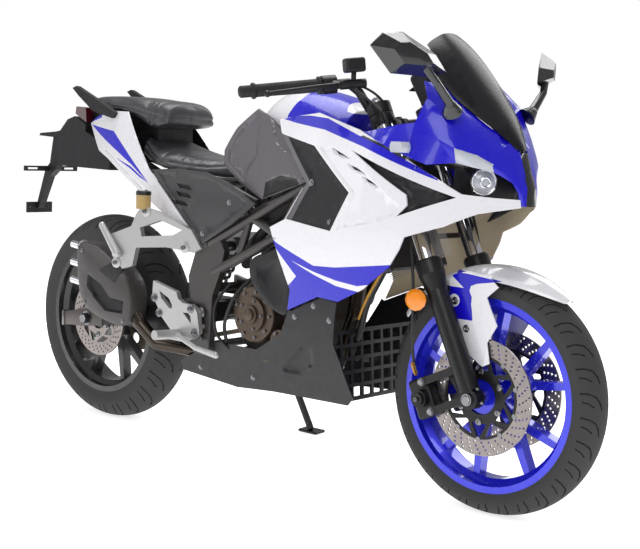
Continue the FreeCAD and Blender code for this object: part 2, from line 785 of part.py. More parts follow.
def frame_side():
    """The right-hand rails and pivot plate."""
    inner = float(size("plate_inner"))
    middle = inner + float(size("plate_thickness")) / 2
    rail = float(size("rail_radius"))
    brace = float(size("brace_radius"))
    head_low = from_fork(-STEM_BACK, -12, lower_z + 40)
    head_high = from_fork(-STEM_BACK, -12, upper_z - 30)
    rear_high = Vector(532, -middle, 570)
    rear_low = Vector(560, -middle, 500)
    upper = [head_high, Vector(960, -104, 796), Vector(875, -middle, 746), rear_high]
    lower = [head_low, Vector(985, -112, 690), Vector(796, -middle - 4, 612), rear_low]
    rails = [bent_tube(upper, rail), bent_tube(lower, rail - 2)]
    rails.append(bent_tube([Vector(960, -104, 796), Vector(985, -112, 690)], brace))
    rails.append(bent_tube([Vector(875, -middle, 746), Vector(985, -112, 690)], brace))
    rails.append(bent_tube([Vector(875, -middle, 746), Vector(796, -middle - 4, 612)], brace))
    rails.append(bent_tube([Vector(690, -middle, 656), Vector(796, -middle - 4, 612)], brace))
    rails.append(bent_tube([Vector(690, -middle, 656), Vector(650, -middle, 541)], brace))
    plate = plate_from(PIVOT_PLATE, -inner - float(size("plate_thickness")), size("plate_thickness"))
    edges = [edge for edge in plate.Edges if abs(edge.Vertexes[0].Y - edge.Vertexes[-1].Y) < 1]
    plate = plate.makeFillet(3, edges)
    return rails + [plate]


side_parts = frame_side()
head_axis = FORK.Rotation.multVec(UP)
head_start = from_fork(-STEM_BACK, 0, lower_z + 18.3)
head_length = upper_z - 12.3 - lower_z - 18.3
head_tube = Part.makeCylinder(float(size("head_tube_radius")), head_length, head_start, head_axis)
head_bore = Part.makeCylinder(float(size("stem_radius") + size("bearing_fit")), 400,
                              head_start - head_axis * 50, head_axis)
pivot_centre = Vector(float(size("pivot_ahead")), 0, float(size("pivot_height")))
cross_half = float(size("plate_inner")) + 4
cross_tubes = [Part.makeCylinder(14, 2 * cross_half, Vector(505, -cross_half, 560), LEFT),
               Part.makeCylinder(11, 2 * cross_half, Vector(516, -cross_half, 293), LEFT)]
engine_ties = [Part.makeCylinder(9, 56, Vector(835, side * 110.4 - 28, 628), LEFT) for side in (-1, 1)]
frame_shape = head_tube.multiFuse(side_parts + [mirror_shape(part) for part in side_parts] + cross_tubes
                                  + engine_ties)
STAND_PIVOT = Vector(524, 158, 298)
STAND_AXIS = Vector(0, 1, 0.2157).normalize()
EYE_HALF = 10.3
stand_lug = Part.makeCylinder(15, 27 - EYE_HALF, STAND_PIVOT - STAND_AXIS * 27.3, STAND_AXIS)
stand_pin = Part.makeCylinder(6, 40, STAND_PIVOT - STAND_AXIS * 27.3, STAND_AXIS)
frame_shape = frame_shape.multiFuse([stand_lug, stand_pin])
pivot_hole = Part.makeCylinder(float(size("pivot_radius") + size("bearing_fit")), 400,
                               pivot_centre - LEFT * 200, LEFT)
frame_shape = frame_shape.cut(head_bore.fuse(pivot_hole))
node(feature("main_frame", frame_shape), "main_frame")


def subframe_side():
    """The right-hand seat rails, from the pivot plate's top to the tail."""
    radius = float(size("subframe_radius"))
    middle = float(size("plate_inner")) + float(size("plate_thickness")) / 2
    upper = [Vector(700, -middle + 14, 690), Vector(560, -112, 735), Vector(300, -88, 745),
             Vector(-60, -30, 862)]
    lower = [Vector(508, -middle, 606), Vector(400, -112, 660), Vector(180, -78, 762), Vector(60, -52, 812)]
    strut = [Vector(400, -112, 660), Vector(430, -100, 742)]
    return [bent_tube(upper, radius), bent_tube(lower, radius), bent_tube(strut, radius - 3)]


seat_rails = subframe_side()
tail_cross = bent_tube([Vector(-40, -34, 856), Vector(-40, 34, 856)], 8)
seat_cross = bent_tube([Vector(330, -92, 745), Vector(330, 92, 745)], 8)
front_cross = bent_tube([Vector(560, -112, 735), Vector(560, 112, 735)], 8)
subframe = seat_rails[0].multiFuse(seat_rails[1:] + [mirror_shape(rail) for rail in seat_rails]
                                   + [tail_cross, seat_cross, front_cross])
subframe = subframe.cut(frame_shape)
node(feature("rear_subframe", subframe), "rear_subframe")


# Swingarm with the rear axle, chain adjusters and the pivot shaft
arm_inner = 84


def swingarm_arm(side):
    """One box-section arm, deeper at the pivot than at the axle."""
    outer = float(size("plate_inner")) - 2
    inner_rear = arm_inner if side < 0 else 92
    sections = []
    for x, z, half_height, inner, out in ((566, 392, 26, 82 if side < 0 else 93, outer),
                                          (440, 372, 34, 82 if side < 0 else 93, outer),
                                          (120, 326, 26, inner_rear, outer - 4),
                                          (-48, 304, 18, inner_rear, outer - 8)):
        corners = [Vector(x, side * inner, z - half_height), Vector(x, side * out, z - half_height),
                   Vector(x, side * out, z + half_height), Vector(x, side * inner, z + half_height)]
        sections.append(Part.makePolygon(corners + corners[:1]))
    arm = Part.makeLoft(sections, True, True)
    return arm


arm_right = swingarm_arm(-1)
arm_left = swingarm_arm(1)
arm_cross = Part.makeBox(96, 200, 62, Vector(338, -100, 338))
arm_cross = arm_cross.makeFillet(14, [edge for edge in arm_cross.Edges
                                      if abs(edge.Vertexes[0].Y - edge.Vertexes[-1].Y) > 1])
pivot_half = float(size("plate_inner") + size("plate_thickness")) + 5
pivot_shaft = Part.makeCylinder(float(size("pivot_radius")), 2 * pivot_half, pivot_centre - LEFT * pivot_half, LEFT)
pivot_heads = [Part.makeCylinder(20, 5, Vector(pivot_centre.x, side_y, pivot_centre.z), LEFT)
               for side_y in (-pivot_half, pivot_half - 5)]
rear_axle_bar = Part.makeCylinder(float(size("axle_radius")), 250, REAR_AXLE - LEFT * 125, LEFT)
axle_nuts = [Part.makeCylinder(16, 10, REAR_AXLE + LEFT * start, LEFT) for start in (-125, 115)]
swing_hub = float(rear_hub_right + size("seat_gap"))
right_spacer = Part.makeCylinder(15, arm_inner - swing_hub, REAR_AXLE - LEFT * arm_inner, LEFT)
left_start = float(rear_hub_left + size("seat_gap")) + 0.3
left_spacer = Part.makeCylinder(15, 92 - left_start, REAR_AXLE + LEFT * left_start, LEFT)
adjusters = [Part.makeCylinder(5, 46, Vector(-88, side * 104, 303), FORWARD) for side in (-1, 1)]
shock_ears = [Part.makeBox(32, 10, 30, Vector(382, side, 394)) for side in (-23.5, 13.5)]
shock_pin = Part.makeCylinder(6, 47, Vector(398, -23.5, 414), LEFT)
swingarm = arm_right.multiFuse([arm_left, arm_cross, shock_pin] + shock_ears + [pivot_shaft, rear_axle_bar, right_spacer, left_spacer]
                               + pivot_heads + axle_nuts + adjusters)
bobbin_holes = [Part.makeCylinder(4, 26, Vector(36, side * 95, 315), LEFT * side) for side in (-1, 1)]
swingarm = swingarm.cut(Part.makeCompound(bobbin_holes))
node(feature("swingarm", swingarm), "swingarm")


# Drive chain round both sprockets, with its plates clear of the teeth
def chain_loop(grow):
    """The chain's side-view outline, moved out from the pitch line by a distance."""
    front = Vector(float(size("front_sprocket_ahead")), 0, float(size("pivot_height")))
    big = pitch_radius(int(sheet.get("rear_teeth"))) + grow
    small = pitch_radius(int(sheet.get("front_teeth"))) + grow
    run = front - REAR_AXLE
    slope = math.atan2(run.z, run.x)
    lean = math.acos((big - small) / run.Length)

    def on(centre, radius, angle):
        return centre + Vector(radius * math.cos(angle), 0, radius * math.sin(angle))

    top_rear = on(REAR_AXLE, big, slope + lean)
    low_rear = on(REAR_AXLE, big, slope - lean)
    top_front = on(front, small, slope + lean)
    low_front = on(front, small, slope - lean)
    edges = [Part.makeLine(top_rear, top_front),
             Part.Arc(top_front, on(front, small, slope), low_front).toShape(),
             Part.makeLine(low_front, low_rear),
             Part.Arc(low_rear, on(REAR_AXLE, big, slope + math.pi), top_rear).toShape()]
    return Part.Face(Part.Wire(edges)), front


outer_loop, front_centre = chain_loop(6.5)
inner_loop, front_centre = chain_loop(-6.5)
band = outer_loop.cut(inner_loop)
chain_y = float(size("chain_offset"))
plates = []
for start in (chain_y - 8, chain_y + 4.5):
    plate = band.extrude(Vector(0, 3.5, 0))
    plate.translate(Vector(0, start, 0))
    plates.append(plate)
roller_box = Part.makeBox(front_centre.x - 210, 12, 400, Vector(130, chain_y - 6, 180))
roller_core = chain_loop(3)[0].cut(chain_loop(-3)[0]).extrude(Vector(0, 12, 0))
roller_core.translate(Vector(0, chain_y - 6, 0))
chain = plates[0].multiFuse([plates[1], roller_core.common(roller_box)])
front_sprocket = sprocket(int(sheet.get("front_teeth")), 10, 0, 4.2)
front_sprocket.translate(front_centre + LEFT * chain_y)
node(feature("drive_chain", chain), "drive_chain")
node(feature("front_sprocket", front_sprocket.fuse(
    Part.makeCylinder(12, 30, front_centre + LEFT * (chain_y - 30), LEFT))), "front_sprocket")


# Engine: crankcase, cylinder and head, joined as the castings are bolted up
def engine_shape():
    """The crankcase with its cylinder and head, cleared for the chain run."""
    half = float(size("engine_half_width"))
    case = plate_from([(640, 322), (622, 400), (640, 470), (700, 506), (800, 512), (872, 470), (902, 400),
                       (886, 330), (836, 288), (700, 284)], -half, 2 * half)
    edges = [edge for edge in case.Edges if abs(edge.Vertexes[0].Y - edge.Vertexes[-1].Y) < 1]
    case = case.makeFillet(10, edges)
    lean = Rotation(LEFT, 14)
    barrel = Part.makeBox(130, 140, 120, Vector(-65, -70, 0))
    barrel = barrel.makeFillet(16, [edge for edge in barrel.Edges
                                    if abs(edge.Vertexes[0].Z - edge.Vertexes[-1].Z) > 1])
    ribs = [Part.makeBox(142, 152, 6, Vector(-71, -76, 18 + 18 * index)) for index in range(5)]
    head = Part.makeBox(150, 164, 70, Vector(-75, -82, 116))
    head = head.makeFillet(12, head.Edges)
    cover = Part.makeBox(120, 130, 26, Vector(-60, -65, 184))
    cover = cover.makeFillet(8, cover.Edges)
    top = barrel.multiFuse(ribs + [head, cover])
    top.Placement = Placement(Vector(800, 0, 490), lean)
    mount = Part.makeCylinder(12, 2 * float(size("plate_inner")) - 0.6,
                              Vector(548, 0.3 - float(size("plate_inner")), 455), LEFT)
    web = Part.makeBox(100, 60, 34, Vector(545, -30, 438))
    sprocket_bay = Part.makeBox(75, 60, 130, Vector(590, chain_y - 16, 325))
    boss = Part.makeCylinder(32, chain_y - 30.3, front_centre, LEFT)
    return case.multiFuse([top, mount, web, boss]).cut(sprocket_bay)


ENGINE = engine_shape()
node(feature("engine", ENGINE), "engine")


def cover_pair():
    """Clutch cover and water pump on the right, generator and sprocket covers on the left."""
    half = float(size("engine_half_width"))
    clutch = Part.makeCone(80, 72, 34, Vector(716, -half, 404), LEFT * -1)
    clutch = clutch.makeFillet(6, [clutch.Edges[index] for index in range(len(clutch.Edges))
                                   if clutch.Edges[index].BoundBox.YMax < -half - 30])
    ring = Part.makeCylinder(46, 8, Vector(716, -half - 34, 404), LEFT * -1)
    cap = Part.makeCylinder(24, 14, Vector(716, -half - 34, 404), LEFT * -1)
    clutch = clutch.multiFuse([ring, cap])
    pump = Part.makeCylinder(32, 44, Vector(822, -half, 345), LEFT * -1)
    snout = Part.makeCylinder(12, 46, Vector(822, -half - 30, 345), Vector(0.3, 0, 1))
    pump = pump.fuse(snout).cut(Part.makeCone(80.3, 72.3, 34, Vector(716, -half, 404), LEFT * -1))
    generator = Part.makeCone(78, 70, 30, Vector(764, half, 404), LEFT)
    generator = generator.fuse(Part.makeCylinder(40, 8, Vector(764, half + 30, 404), LEFT))
    return [clutch, pump, generator]


node(feature("engine_covers", Part.makeCompound(cover_pair())), "engine_covers")


def hanger_skin(x, z):
    """The outer face of the pillion hanger, which leans out behind the muffler."""
    return -(156.3 + 0.2 * (530 - x)) + 0 * z


# Exhaust
def header_pipe():
    """The header from the head's front port, under the engine and out to the silencer."""
    points = [Vector(900, 0, 612), Vector(970, -6, 560), Vector(975, -40, 420), Vector(950, -66, 300),
              Vector(880, -70, 258), Vector(640, -66, 254), Vector(455, -60, 262), Vector(345, -140, 280),
              Vector(296, -159, 330), Vector(262, -159, 362)]
    return bent_tube(points, float(size("header_radius")))


header = header_pipe().cut(ENGINE)
muffler_outer = float(size("muffler_inner") + size("muffler_width"))
muffler_outline = [(112, 545), (60, 556), (44, 540), (48, 470), (62, 380), (84, 356), (180, 326), (262, 318),
                   (286, 340), (268, 420), (200, 470)]
muffler_block = plate_from(muffler_outline, -muffler_outer, size("muffler_width"))
muffler = muffler_block
long_edges = [edge for edge in muffler.Edges if abs(edge.Vertexes[0].Y - edge.Vertexes[-1].Y) < 1]
muffler = muffler.makeFillet(16, long_edges)
header = header.cut(muffler)
node(feature("exhaust_header", header), "exhaust_header")
hanger_inner = hanger_skin(252, 500) + 14
muffler_tab = plate_from([(150, 470), (240, 512), (262, 516), (268, 494), (220, 440)], -muffler_outer + 0.5, 6)
boss_end = hanger_inner + 2.1
muffler_boss = Part.makeCylinder(9, 1 - muffler_outer - boss_end, Vector(252, boss_end, 502), LEFT)
node(feature("muffler", muffler.multiFuse([muffler_tab, muffler_boss]).removeSplitter()), "muffler")
tips = []
for height in (520, 468, 416):
    for shift in (-17, 17):
        tube = Part.makeCylinder(11, 66, Vector(76, -(float(size("muffler_inner")) + 35) + shift, height + 6),
                                 Vector(-1, 0, 0.12))
        tips.append(tube.cut(Part.makeCylinder(9, 80, Vector(66, -(float(size("muffler_inner")) + 35) + shift,
                                                             height + 7), Vector(-1, 0, 0.12))))
tip_set = Part.makeCompound([tip.cut(muffler_block) for tip in tips])
node(feature("muffler_tips", tip_set), "muffler_tips")


# Radiator: a finned core between two side tanks, raked as the fork is
def radiator_shape():
    """The core with its side tanks and neck, in the fork's rake, behind the steering sweep."""
    half = float(size("radiator_half_width"))
    thick = float(size("radiator_thickness"))
    low = 352
    tall = 152
    back = -STEM_BACK - 62 - thick
    core = Part.makeBox(thick - 8, 2 * half - 40, tall, Vector(back + 4, -half + 20, low))
    tanks = [Part.makeBox(thick, 24, tall + 12, Vector(back, start, low - 6)) for start in (-half, half - 24)]
    tanks = [tank.makeFillet(7, tank.Edges) for tank in tanks]
    neck = Part.makeCylinder(14, 26, Vector(back + thick / 2, half - 12, low + tall - 2), UP)
    lugs = [Part.makeBox(thick - 12, 20, 12, Vector(back + 6, side, low + tall)) for side in (-70, 50)]
    shape = core.multiFuse(tanks + [neck] + lugs)
    shape.Placement = FORK
    return shape


RADIATOR_MIDDLE = -STEM_BACK - 62 - float(size("radiator_thickness")) / 2
radiator = radiator_shape()
node(feature("radiator", radiator), "radiator")


# Bodywork: every side panel is a slab of one wall thickness cut from a curved skin
def side_width(x):
    """Half width of the fairing's skin at its widest height."""
    widest = float(size("body_half_width"))
    nose = float(size("nose_ahead"))
    if x > 1080:
        share = min(1, (x - 1080) / (nose - 1080))
        return widest * (1 - share ** 2.6) ** 0.9
    return widest * (1 - 0.30 * ((1080 - x) / 500) ** 2)


def side_height(z):
    """How the fairing's half width falls off above and below its widest height."""
    if z > 650:
        return 1 - 0.16 * ((z - 650) / 270) ** 2
    return 1 - 0.40 * ((650 - z) / 430) ** 1.8


def fairing_skin(x, z):
    """The fairing's right-hand skin."""
    return -side_width(x) * side_height(z)


def belly_skin(x, z):
    """The belly pan's right-hand skin."""
    width = 205 - 0.107 * (1050 - x)
    return -width * (1 - 0.42 * max(0, (470 - z) / 280) ** 1.8)


def cover_skin(x, z):
    """The side cover's right-hand skin."""
    return -(141 + 0.07 * (x - 298)) * (1 - 0.3 * ((z - 670) / 260) ** 2)


def knee_skin(x, z):
    """The tank's knee panel skin."""
    return -(120 + 0.185 * (x - 576)) * (1 - 0.35 * (max(0, z - 790) / 150) ** 2)


def tail_skin(x, z):
    """The tail panel's right-hand skin."""
    return -(75 + 0.33 * x - 0.00035 * x * x) * (1 - 0.1 * (max(0, z - 800) / 150) ** 2)


def slab(skin, corners, wall, inset=0):
    """A panel of one wall thickness: an outline in side view, cut from a curved skin."""
    wire = Part.makePolygon([point(x, 0, z) for x, z in corners + corners[:1]])
    box = wire.BoundBox
    margin = 12
    rows = []
    for step_x in range(13):
        x = box.XMin - margin + (box.XLength + 2 * margin) * step_x / 12
        rows.append([Vector(x, skin(x, z) + inset, z)
                     for z in (box.ZMin - margin + (box.ZLength + 2 * margin) * step_z / 10
                               for step_z in range(11))])
    surface = Part.BSplineSurface()
    surface.interpolate(rows)
    sheet_solid = surface.toShape().extrude(Vector(0, float(wall), 0))
    prism = Part.Face(wire).extrude(Vector(0, -400, 0))
    return prism.common(sheet_solid)


wall = size("panel_wall")
FAIRING = [(846, 877), (831, 907), (967, 923), (1103, 885), (1234, 824), (1300, 784), (1352, 748),
           (1404, 742), (1441, 739), (1442, 721), (1378, 704), (1322, 673), (1247, 646), (1237, 618), (1213, 575),
           (1142, 517), (1064, 480), (1000, 485), (889, 439), (906, 492), (876, 558), (838, 641),
           (893, 664), (958, 755)]
VENT_PANEL = [(849, 871), (971, 844), (1098, 739), (1048, 647), (897, 666), (958, 755)]
DUCT = [(1090, 838), (1344, 740), (1228, 692), (1250, 718), (1246, 742)]


def grown(corners, distance):
    """An outline moved outwards by a distance."""
    wire = Part.makePolygon([Vector(x, 0, z) for x, z in corners + corners[:1]])
    return [(vertex.X, vertex.Z) for vertex in
            Part.Wire(wire.makeOffset2D(distance, 2, False).OrderedEdges).OrderedVertexes]


def through(corners):
    """A tall prism through the right-hand side, to cut an opening."""
    wire = Part.makePolygon([Vector(x, 0, z) for x, z in corners + corners[:1]])
    return Part.Face(wire).extrude(Vector(0, -400, 0))


fairing = slab(fairing_skin, FAIRING, wall)
fairing = fairing.cut(through(grown(VENT_PANEL, 0.3))).cut(through(DUCT))
node(feature("side_fairing_right", fairing), "side_fairing_right")
node(feature("side_fairing_left", mirror_shape(fairing)), "side_fairing_left")
vent_panel = slab(fairing_skin, VENT_PANEL, wall, 3)
duct_back = slab(fairing_skin, grown(DUCT, 10), 3, float(wall) + 8.2)
duct_rim = slab(fairing_skin, grown(DUCT, 10), 8, float(wall) + 0.3).cut(through(DUCT))
inserts = [vent_panel, duct_back.fuse(duct_rim)]
inserts += [mirror_shape(insert) for insert in inserts]
node(feature("fairing_inserts", Part.makeCompound(inserts)), "fairing_inserts")

BELLY = [(884, 440), (850, 376), (741, 316), (560, 312), (395, 232), (400, 206), (621, 192), (769, 205),
         (1040, 216), (1068, 240), (1052, 327), (1037, 373), (1056, 476), (1000, 482), (892, 436), (905, 492),
         (874, 558), (836, 606), (735, 540), (760, 470)]
belly_side = slab(belly_skin, BELLY[:15] + [(884, 440)], wall).cut(through(grown(PIVOT_PLATE, 4)))
node(feature("belly_pan_right", belly_side), "belly_pan_right")
node(feature("belly_pan_left", mirror_shape(belly_side)), "belly_pan_left")

HANGER = [(533, 560), (500, 608), (392, 650), (334, 662), (316, 640), (300, 606), (231, 580), (236, 520),
          (272, 486), (306, 496), (318, 548), (420, 556), (508, 548)]
HANGER_HOLE = [(330, 604), (400, 628), (470, 606), (440, 590), (336, 580)]
hanger = slab(hanger_skin, HANGER, 14).cut(through(HANGER_HOLE))

SIDE_COVER = [(300, 762), (420, 770), (542, 764), (640, 738), (745, 692), (655, 634), (530, 572), (487, 610),
              (393, 690)]
side_cover = slab(cover_skin, SIDE_COVER, wall).cut(hanger)
for slot_x, slot_z in ((452, 722), (452, 700), (438, 678)):
    slot = through([(slot_x - 34, slot_z + 8), (slot_x + 20, slot_z + 4), (slot_x + 34, slot_z - 8),
                    (slot_x - 20, slot_z - 4)])
    side_cover = side_cover.cut(slot)
node(feature("side_covers", pair(side_cover)), "side_covers")

KNEE = [(577, 785), (573, 824), (610, 884), (670, 935), (752, 908), (838, 870), (902, 798), (928, 756),
        (846, 732), (748, 704), (650, 742)]
knee_panel = slab(knee_skin, KNEE, wall)
node(feature("knee_panels", pair(knee_panel)), "knee_panels")

TAIL = [(-86, 888), (-40, 905), (13, 916), (100, 924), (170, 922), (232, 846), (297, 765), (388, 692),
        (486, 608), (470, 598), (334, 664), (200, 726), (60, 786), (-9, 808)]
tail_panel = slab(tail_skin, TAIL, wall).cut(hanger)
node(feature("tail_panels", pair(tail_panel)), "tail_panels")


# Tank and seats: solid crowned forms lofted through sections across the bike
def arch_section(x, half, low, high, fullness, count=9):
    """A closed section across the bike: a crowned arch over a flat bottom."""
    points = []
    for step in range(count):
        angle = math.pi * step / (count - 1)
        side = math.copysign(abs(math.cos(angle)) ** fullness, math.cos(angle))
        points.append(Vector(x, -half * side, low + (high - low) * math.sin(angle) ** fullness))
    arch = Part.BSplineCurve()
    arch.interpolate(points)
    return Part.Wire([arch.toShape(), Part.makeLine(points[-1], points[0])])


def crowned(stations, fullness):
    """A solid through arch sections, smooth from one to the next."""
    return Part.makeLoft([arch_section(*station, fullness) for station in stations], True, False)


tank = crowned([(592, 62, 772, 830), (650, 92, 762, 925), (726, 108, 758, 980), (831, 124, 774, 986),
                (918, 130, 802, 964), (978, 112, 836, 936)], 0.72).cut(frame_shape)
node(feature("fuel_tank", tank), "fuel_tank")
rider_seat = crowned([(206, 90, 808, 870), (250, 108, 788, 846), (312, 128, 768, 822), (385, 124, 758, 806),
                      (470, 110, 754, 797), (546, 84, 750, 806), (584, 60, 756, 826)], 0.6).cut(subframe)
node(feature("rider_seat", rider_seat), "rider_seat")
pillion_seat = crowned([(-84, 40, 940, 952), (-62, 68, 928, 963), (0, 84, 927, 968), (90, 95, 927, 967),
                        (180, 101, 906, 962), (240, 103, 882, 956), (300, 100, 876, 949), (322, 86, 884, 938)],
                       0.6).cut(subframe)
node(feature("pillion_seat", pillion_seat), "pillion_seat")


# Nose: screen, cowl and lamps, gridded from a few hand-set lines
def between(one, two, share):
    """A place part of the way from one point to another."""
    return one + (two - one) * share


def screen_shape():
    """The dark screen: a centre line and an edge line, bowed between."""
    centre = [Vector(1427, 0, 849), Vector(1400, 0, 896), Vector(1352, 0, 968), Vector(1303, 0, 1029),
              Vector(1252, 0, 1083), Vector(1206, 0, 1119)]
    edge = [Vector(1416, 21, 853), Vector(1384, 53, 890), Vector(1324, 93, 942), Vector(1272, 106, 990),
            Vector(1229, 96, 1052), Vector(1197, 80, 1087)]
    rows = []
    for middle, side in zip(centre, edge):
        row = []
        for step in range(-4, 5):
            share = step / 4
            bow = abs(share) ** 2.2
            row.append(Vector(middle.x + (side.x - middle.x) * bow, side.y * share,
                              middle.z + (side.z - middle.z) * bow))
        rows.append(row)
    return shell_from_grid(rows, -4)


screen = screen_shape()
node(feature("windscreen", screen), "windscreen")

# The cowl's lines run forward from the ear by the mirror to the tip of the beak, on the right
COWL_EDGE = [(1268, -100, 990), (1317, -90, 944), (1352, -70, 913), (1384, -48, 885), (1402, -33, 868),
             (1420, -22, 846), (1434, -20, 804), (1448, -18, 765), (1452, -16, 724)]
COWL_RIDGE = [(1252, -158, 998), (1312, -148, 952), (1352, -116, 904), (1383, -87, 871), (1404, -62, 849),
              (1421, -42, 828), (1435, -28, 796), (1446, -24, 760), (1449, -21, 724)]
COWL_FLANK = [(1272, -172, 960), (1314, -170, 915), (1351, -144, 878), (1381, -113, 850), (1403, -86, 829),
              (1421, -60, 808), (1434, -39, 788), (1444, -31, 757), (1446, -26, 724)]
COWL_CREASE = [(1251, -187, 904), (1310, -185, 871), (1349, -165, 847), (1379, -128, 833), (1402, -100, 814),
               (1417, -72, 800), (1432, -46, 782), (1442, -36, 755), (1443, -29, 724)]
COWL_LOW = [(1249, -212, 829), (1300, -206, 812), (1346, -158, 817), (1380, -116, 806), (1403, -91, 799),
            (1412, -76, 792), (1429, -50, 776), (1439, -40, 754), (1440, -32, 724)]
STRIP_MIDDLE = [(1429, 0, 844), (1440, 0, 804), (1453, 0, 765), (1456, 0, 724)]
SIDE_TOP = [(1108, -176, 882), (1201, -182, 899), (1251, -187, 904)]
SIDE_LOW = [(1102, -200, 881), (1180, -207, 852), (1249, -212, 829)]


def cowl_shape():
    """The nose cowl: folded sides that meet at a narrow front strip."""
    lines = [COWL_EDGE, COWL_RIDGE, COWL_FLANK, COWL_CREASE, COWL_LOW]
    strips = list(zip(lines, lines[1:])) + [(SIDE_TOP, SIDE_LOW), (STRIP_MIDDLE, COWL_EDGE[5:])]
    return folded_wall(strips, -float(size("panel_wall")))


cowl = cowl_shape().cut(Part.makeCompound([screen, fairing, mirror_shape(fairing)]))
cowl = max(cowl.Solids, key=lambda solid: solid.Volume)
node(feature("nose_cowl", cowl), "nose_cowl")


def lamps_shape():
    """The lamp housing behind the nose, with a projector lens on each side."""
    plan = [(1312, -112), (1350, -100), (1418, -24), (1418, 24), (1350, 100), (1312, 112)]
    wire = Part.makePolygon([Vector(x, y, 728) for x, y in plan + plan[:1]])
    housing = Part.Face(wire).extrude(Vector(0, 0, 78))
    lenses = []
    for side in (-1, 1):
        way = Vector(0.8, 0.6 * side, -0.05).normalize()
        start = Vector(1362, side * 74, 777)
        ring = Part.makeCylinder(30, 18, start, way)
        lens = Part.makeCylinder(25, 26, start, way).common(Part.makeSphere(42, start - way * 16))
        lenses.append(ring.cut(Part.makeCylinder(25, 18, start, way)).fuse(lens))
    sides = [cowl, fairing, mirror_shape(fairing)]
    return max(housing.multiFuse(lenses).cut(Part.makeCompound(sides)).Solids, key=lambda solid: solid.Volume)


lamp_body = lamps_shape()
node(feature("headlamps", lamp_body), "headlamps")

clusters = Part.makeBox(46, 170, 96, Vector(0, -85, 0))
clusters = clusters.makeFillet(12, clusters.Edges)
clusters.Placement = Placement(Vector(1196, 0, 930), Rotation(LEFT, -32))
node(feature("instrument_cluster", clusters), "instrument_cluster")


MIRROR_MIDDLE = Vector(1285, -275, 0)
MIRROR_TOE = 28
MIRROR_DEPTH = 36
MIRROR_RIDGE = (0, 1046)


def mirror_point(out, depth, z):
    """A place in a mirror head: outwards along its glass, ahead of the glass, and up."""
    turn = math.radians(MIRROR_TOE)
    along = Vector(-math.sin(turn), -math.cos(turn), 0)
    ahead = Vector(math.cos(turn), -math.sin(turn), 0)
    return MIRROR_MIDDLE + along * out + ahead * depth + UP * z


def mirror_right():
    """A mirror: tapered stalk and a faceted head, deeper at its middle."""
    outline = [(-100, 1014), (-72, 1052), (9, 1095), (56, 1091), (84, 1062), (34, 1005), (-50, 1002)]
    back = Part.makePolygon([mirror_point(out, 0, z) for out, z in outline + outline[:1]])
    raised = [((out + MIRROR_RIDGE[0]) / 2, (z + MIRROR_RIDGE[1]) / 2) for out, z in outline]
    front = Part.makePolygon([mirror_point(out, MIRROR_DEPTH, z) for out, z in raised + raised[:1]])
    head = Part.makeLoft([back, front], True, True)
    seat = Vector(1330, -158, 934)
    away = Vector(0.25, -0.72, 0.65).normalize()
    stalk = hull_bar([seat + away * 14, mirror_point(-70, 14, 990), mirror_point(-40, 16, 1022)], [12, 9, 9])
    boot = Part.makeCone(24, 12, 26, seat - away * 6, away)
    outside = head.multiFuse([stalk, boot]).cut(cowl)
    return max(outside.Solids, key=lambda solid: solid.Volume)


node(feature("mirrors", pair(mirror_right())), "mirrors")
indicator = Part.makeSphere(24)
indicator = indicator.common(Part.makeBox(60, 30, 24, Vector(-30, -15, -12)))
indicator.Placement = Placement(Vector(1240, -222, 848), Rotation(UP, -8))
indicator = max(indicator.cut(fairing).cut(cowl).Solids, key=lambda solid: solid.Volume)
node(feature("front_lamps", pair(indicator)), "front_lamps")

# Tail: lamp, grab rails, undertray with the plate arm
GRAB = [(96, 903), (112, 918), (40, 950), (-70, 996), (-88, 990), (-60, 968), (10, 922)]
grab = plate_from(GRAB, -112, 15).cut(slab(tail_skin, TAIL, 60)).cut(pillion_seat)
node(feature("grab_rails", pair(grab)), "grab_rails")
lamp = Part.makeLoft([Part.makePolygon([Vector(x, y, z) for x, z in ((-96, 890), (-150, 916), (-146, 938),
                                                                     (-100, 934), (-96, 890))])
                      for y in (-52, 52)], True, True).cut(pillion_seat)
node(feature("tail_lamp", lamp), "tail_lamp")
tray_side = [(-98, 868), (-300, 842), (-376, 846), (-372, 854), (-290, 860), (-98, 890)]
tray = plate_from(tray_side, -20, 40)
tail_block = plate_from([(20, 750), (20, 812), (-98, 862), (-98, 884), (-152, 908), (-186, 898), (-237, 850),
                         (-234, 756)], -54, 108)
arm = plate_from([(-250, 848), (-312, 850), (-330, 760), (-352, 742), (-400, 616), (-388, 612), (-334, 716),
                  (-300, 740)], -12, 24)
bar = Part.makeBox(12, 200, 16, Vector(-346, -100, 734))
bar = bar.cut(Part.makeCompound([Part.makeBox(20, 44, 6, Vector(-350, y, 739)) for y in (-92, 48)]))
plate_bracket = Part.makeBox(8, 96, 34, Vector(-404, -48, 598))
plate_holes = [Part.makeCylinder(3.25, 20, Vector(-410, side * 36, 615), FORWARD) for side in (-1, 1)]
undertray = tray.multiFuse([arm, bar, plate_bracket, tail_block])
undertray = undertray.cut(Part.makeCompound(plate_holes + [lamp, subframe]))
node(feature("rear_undertray", undertray), "rear_undertray")

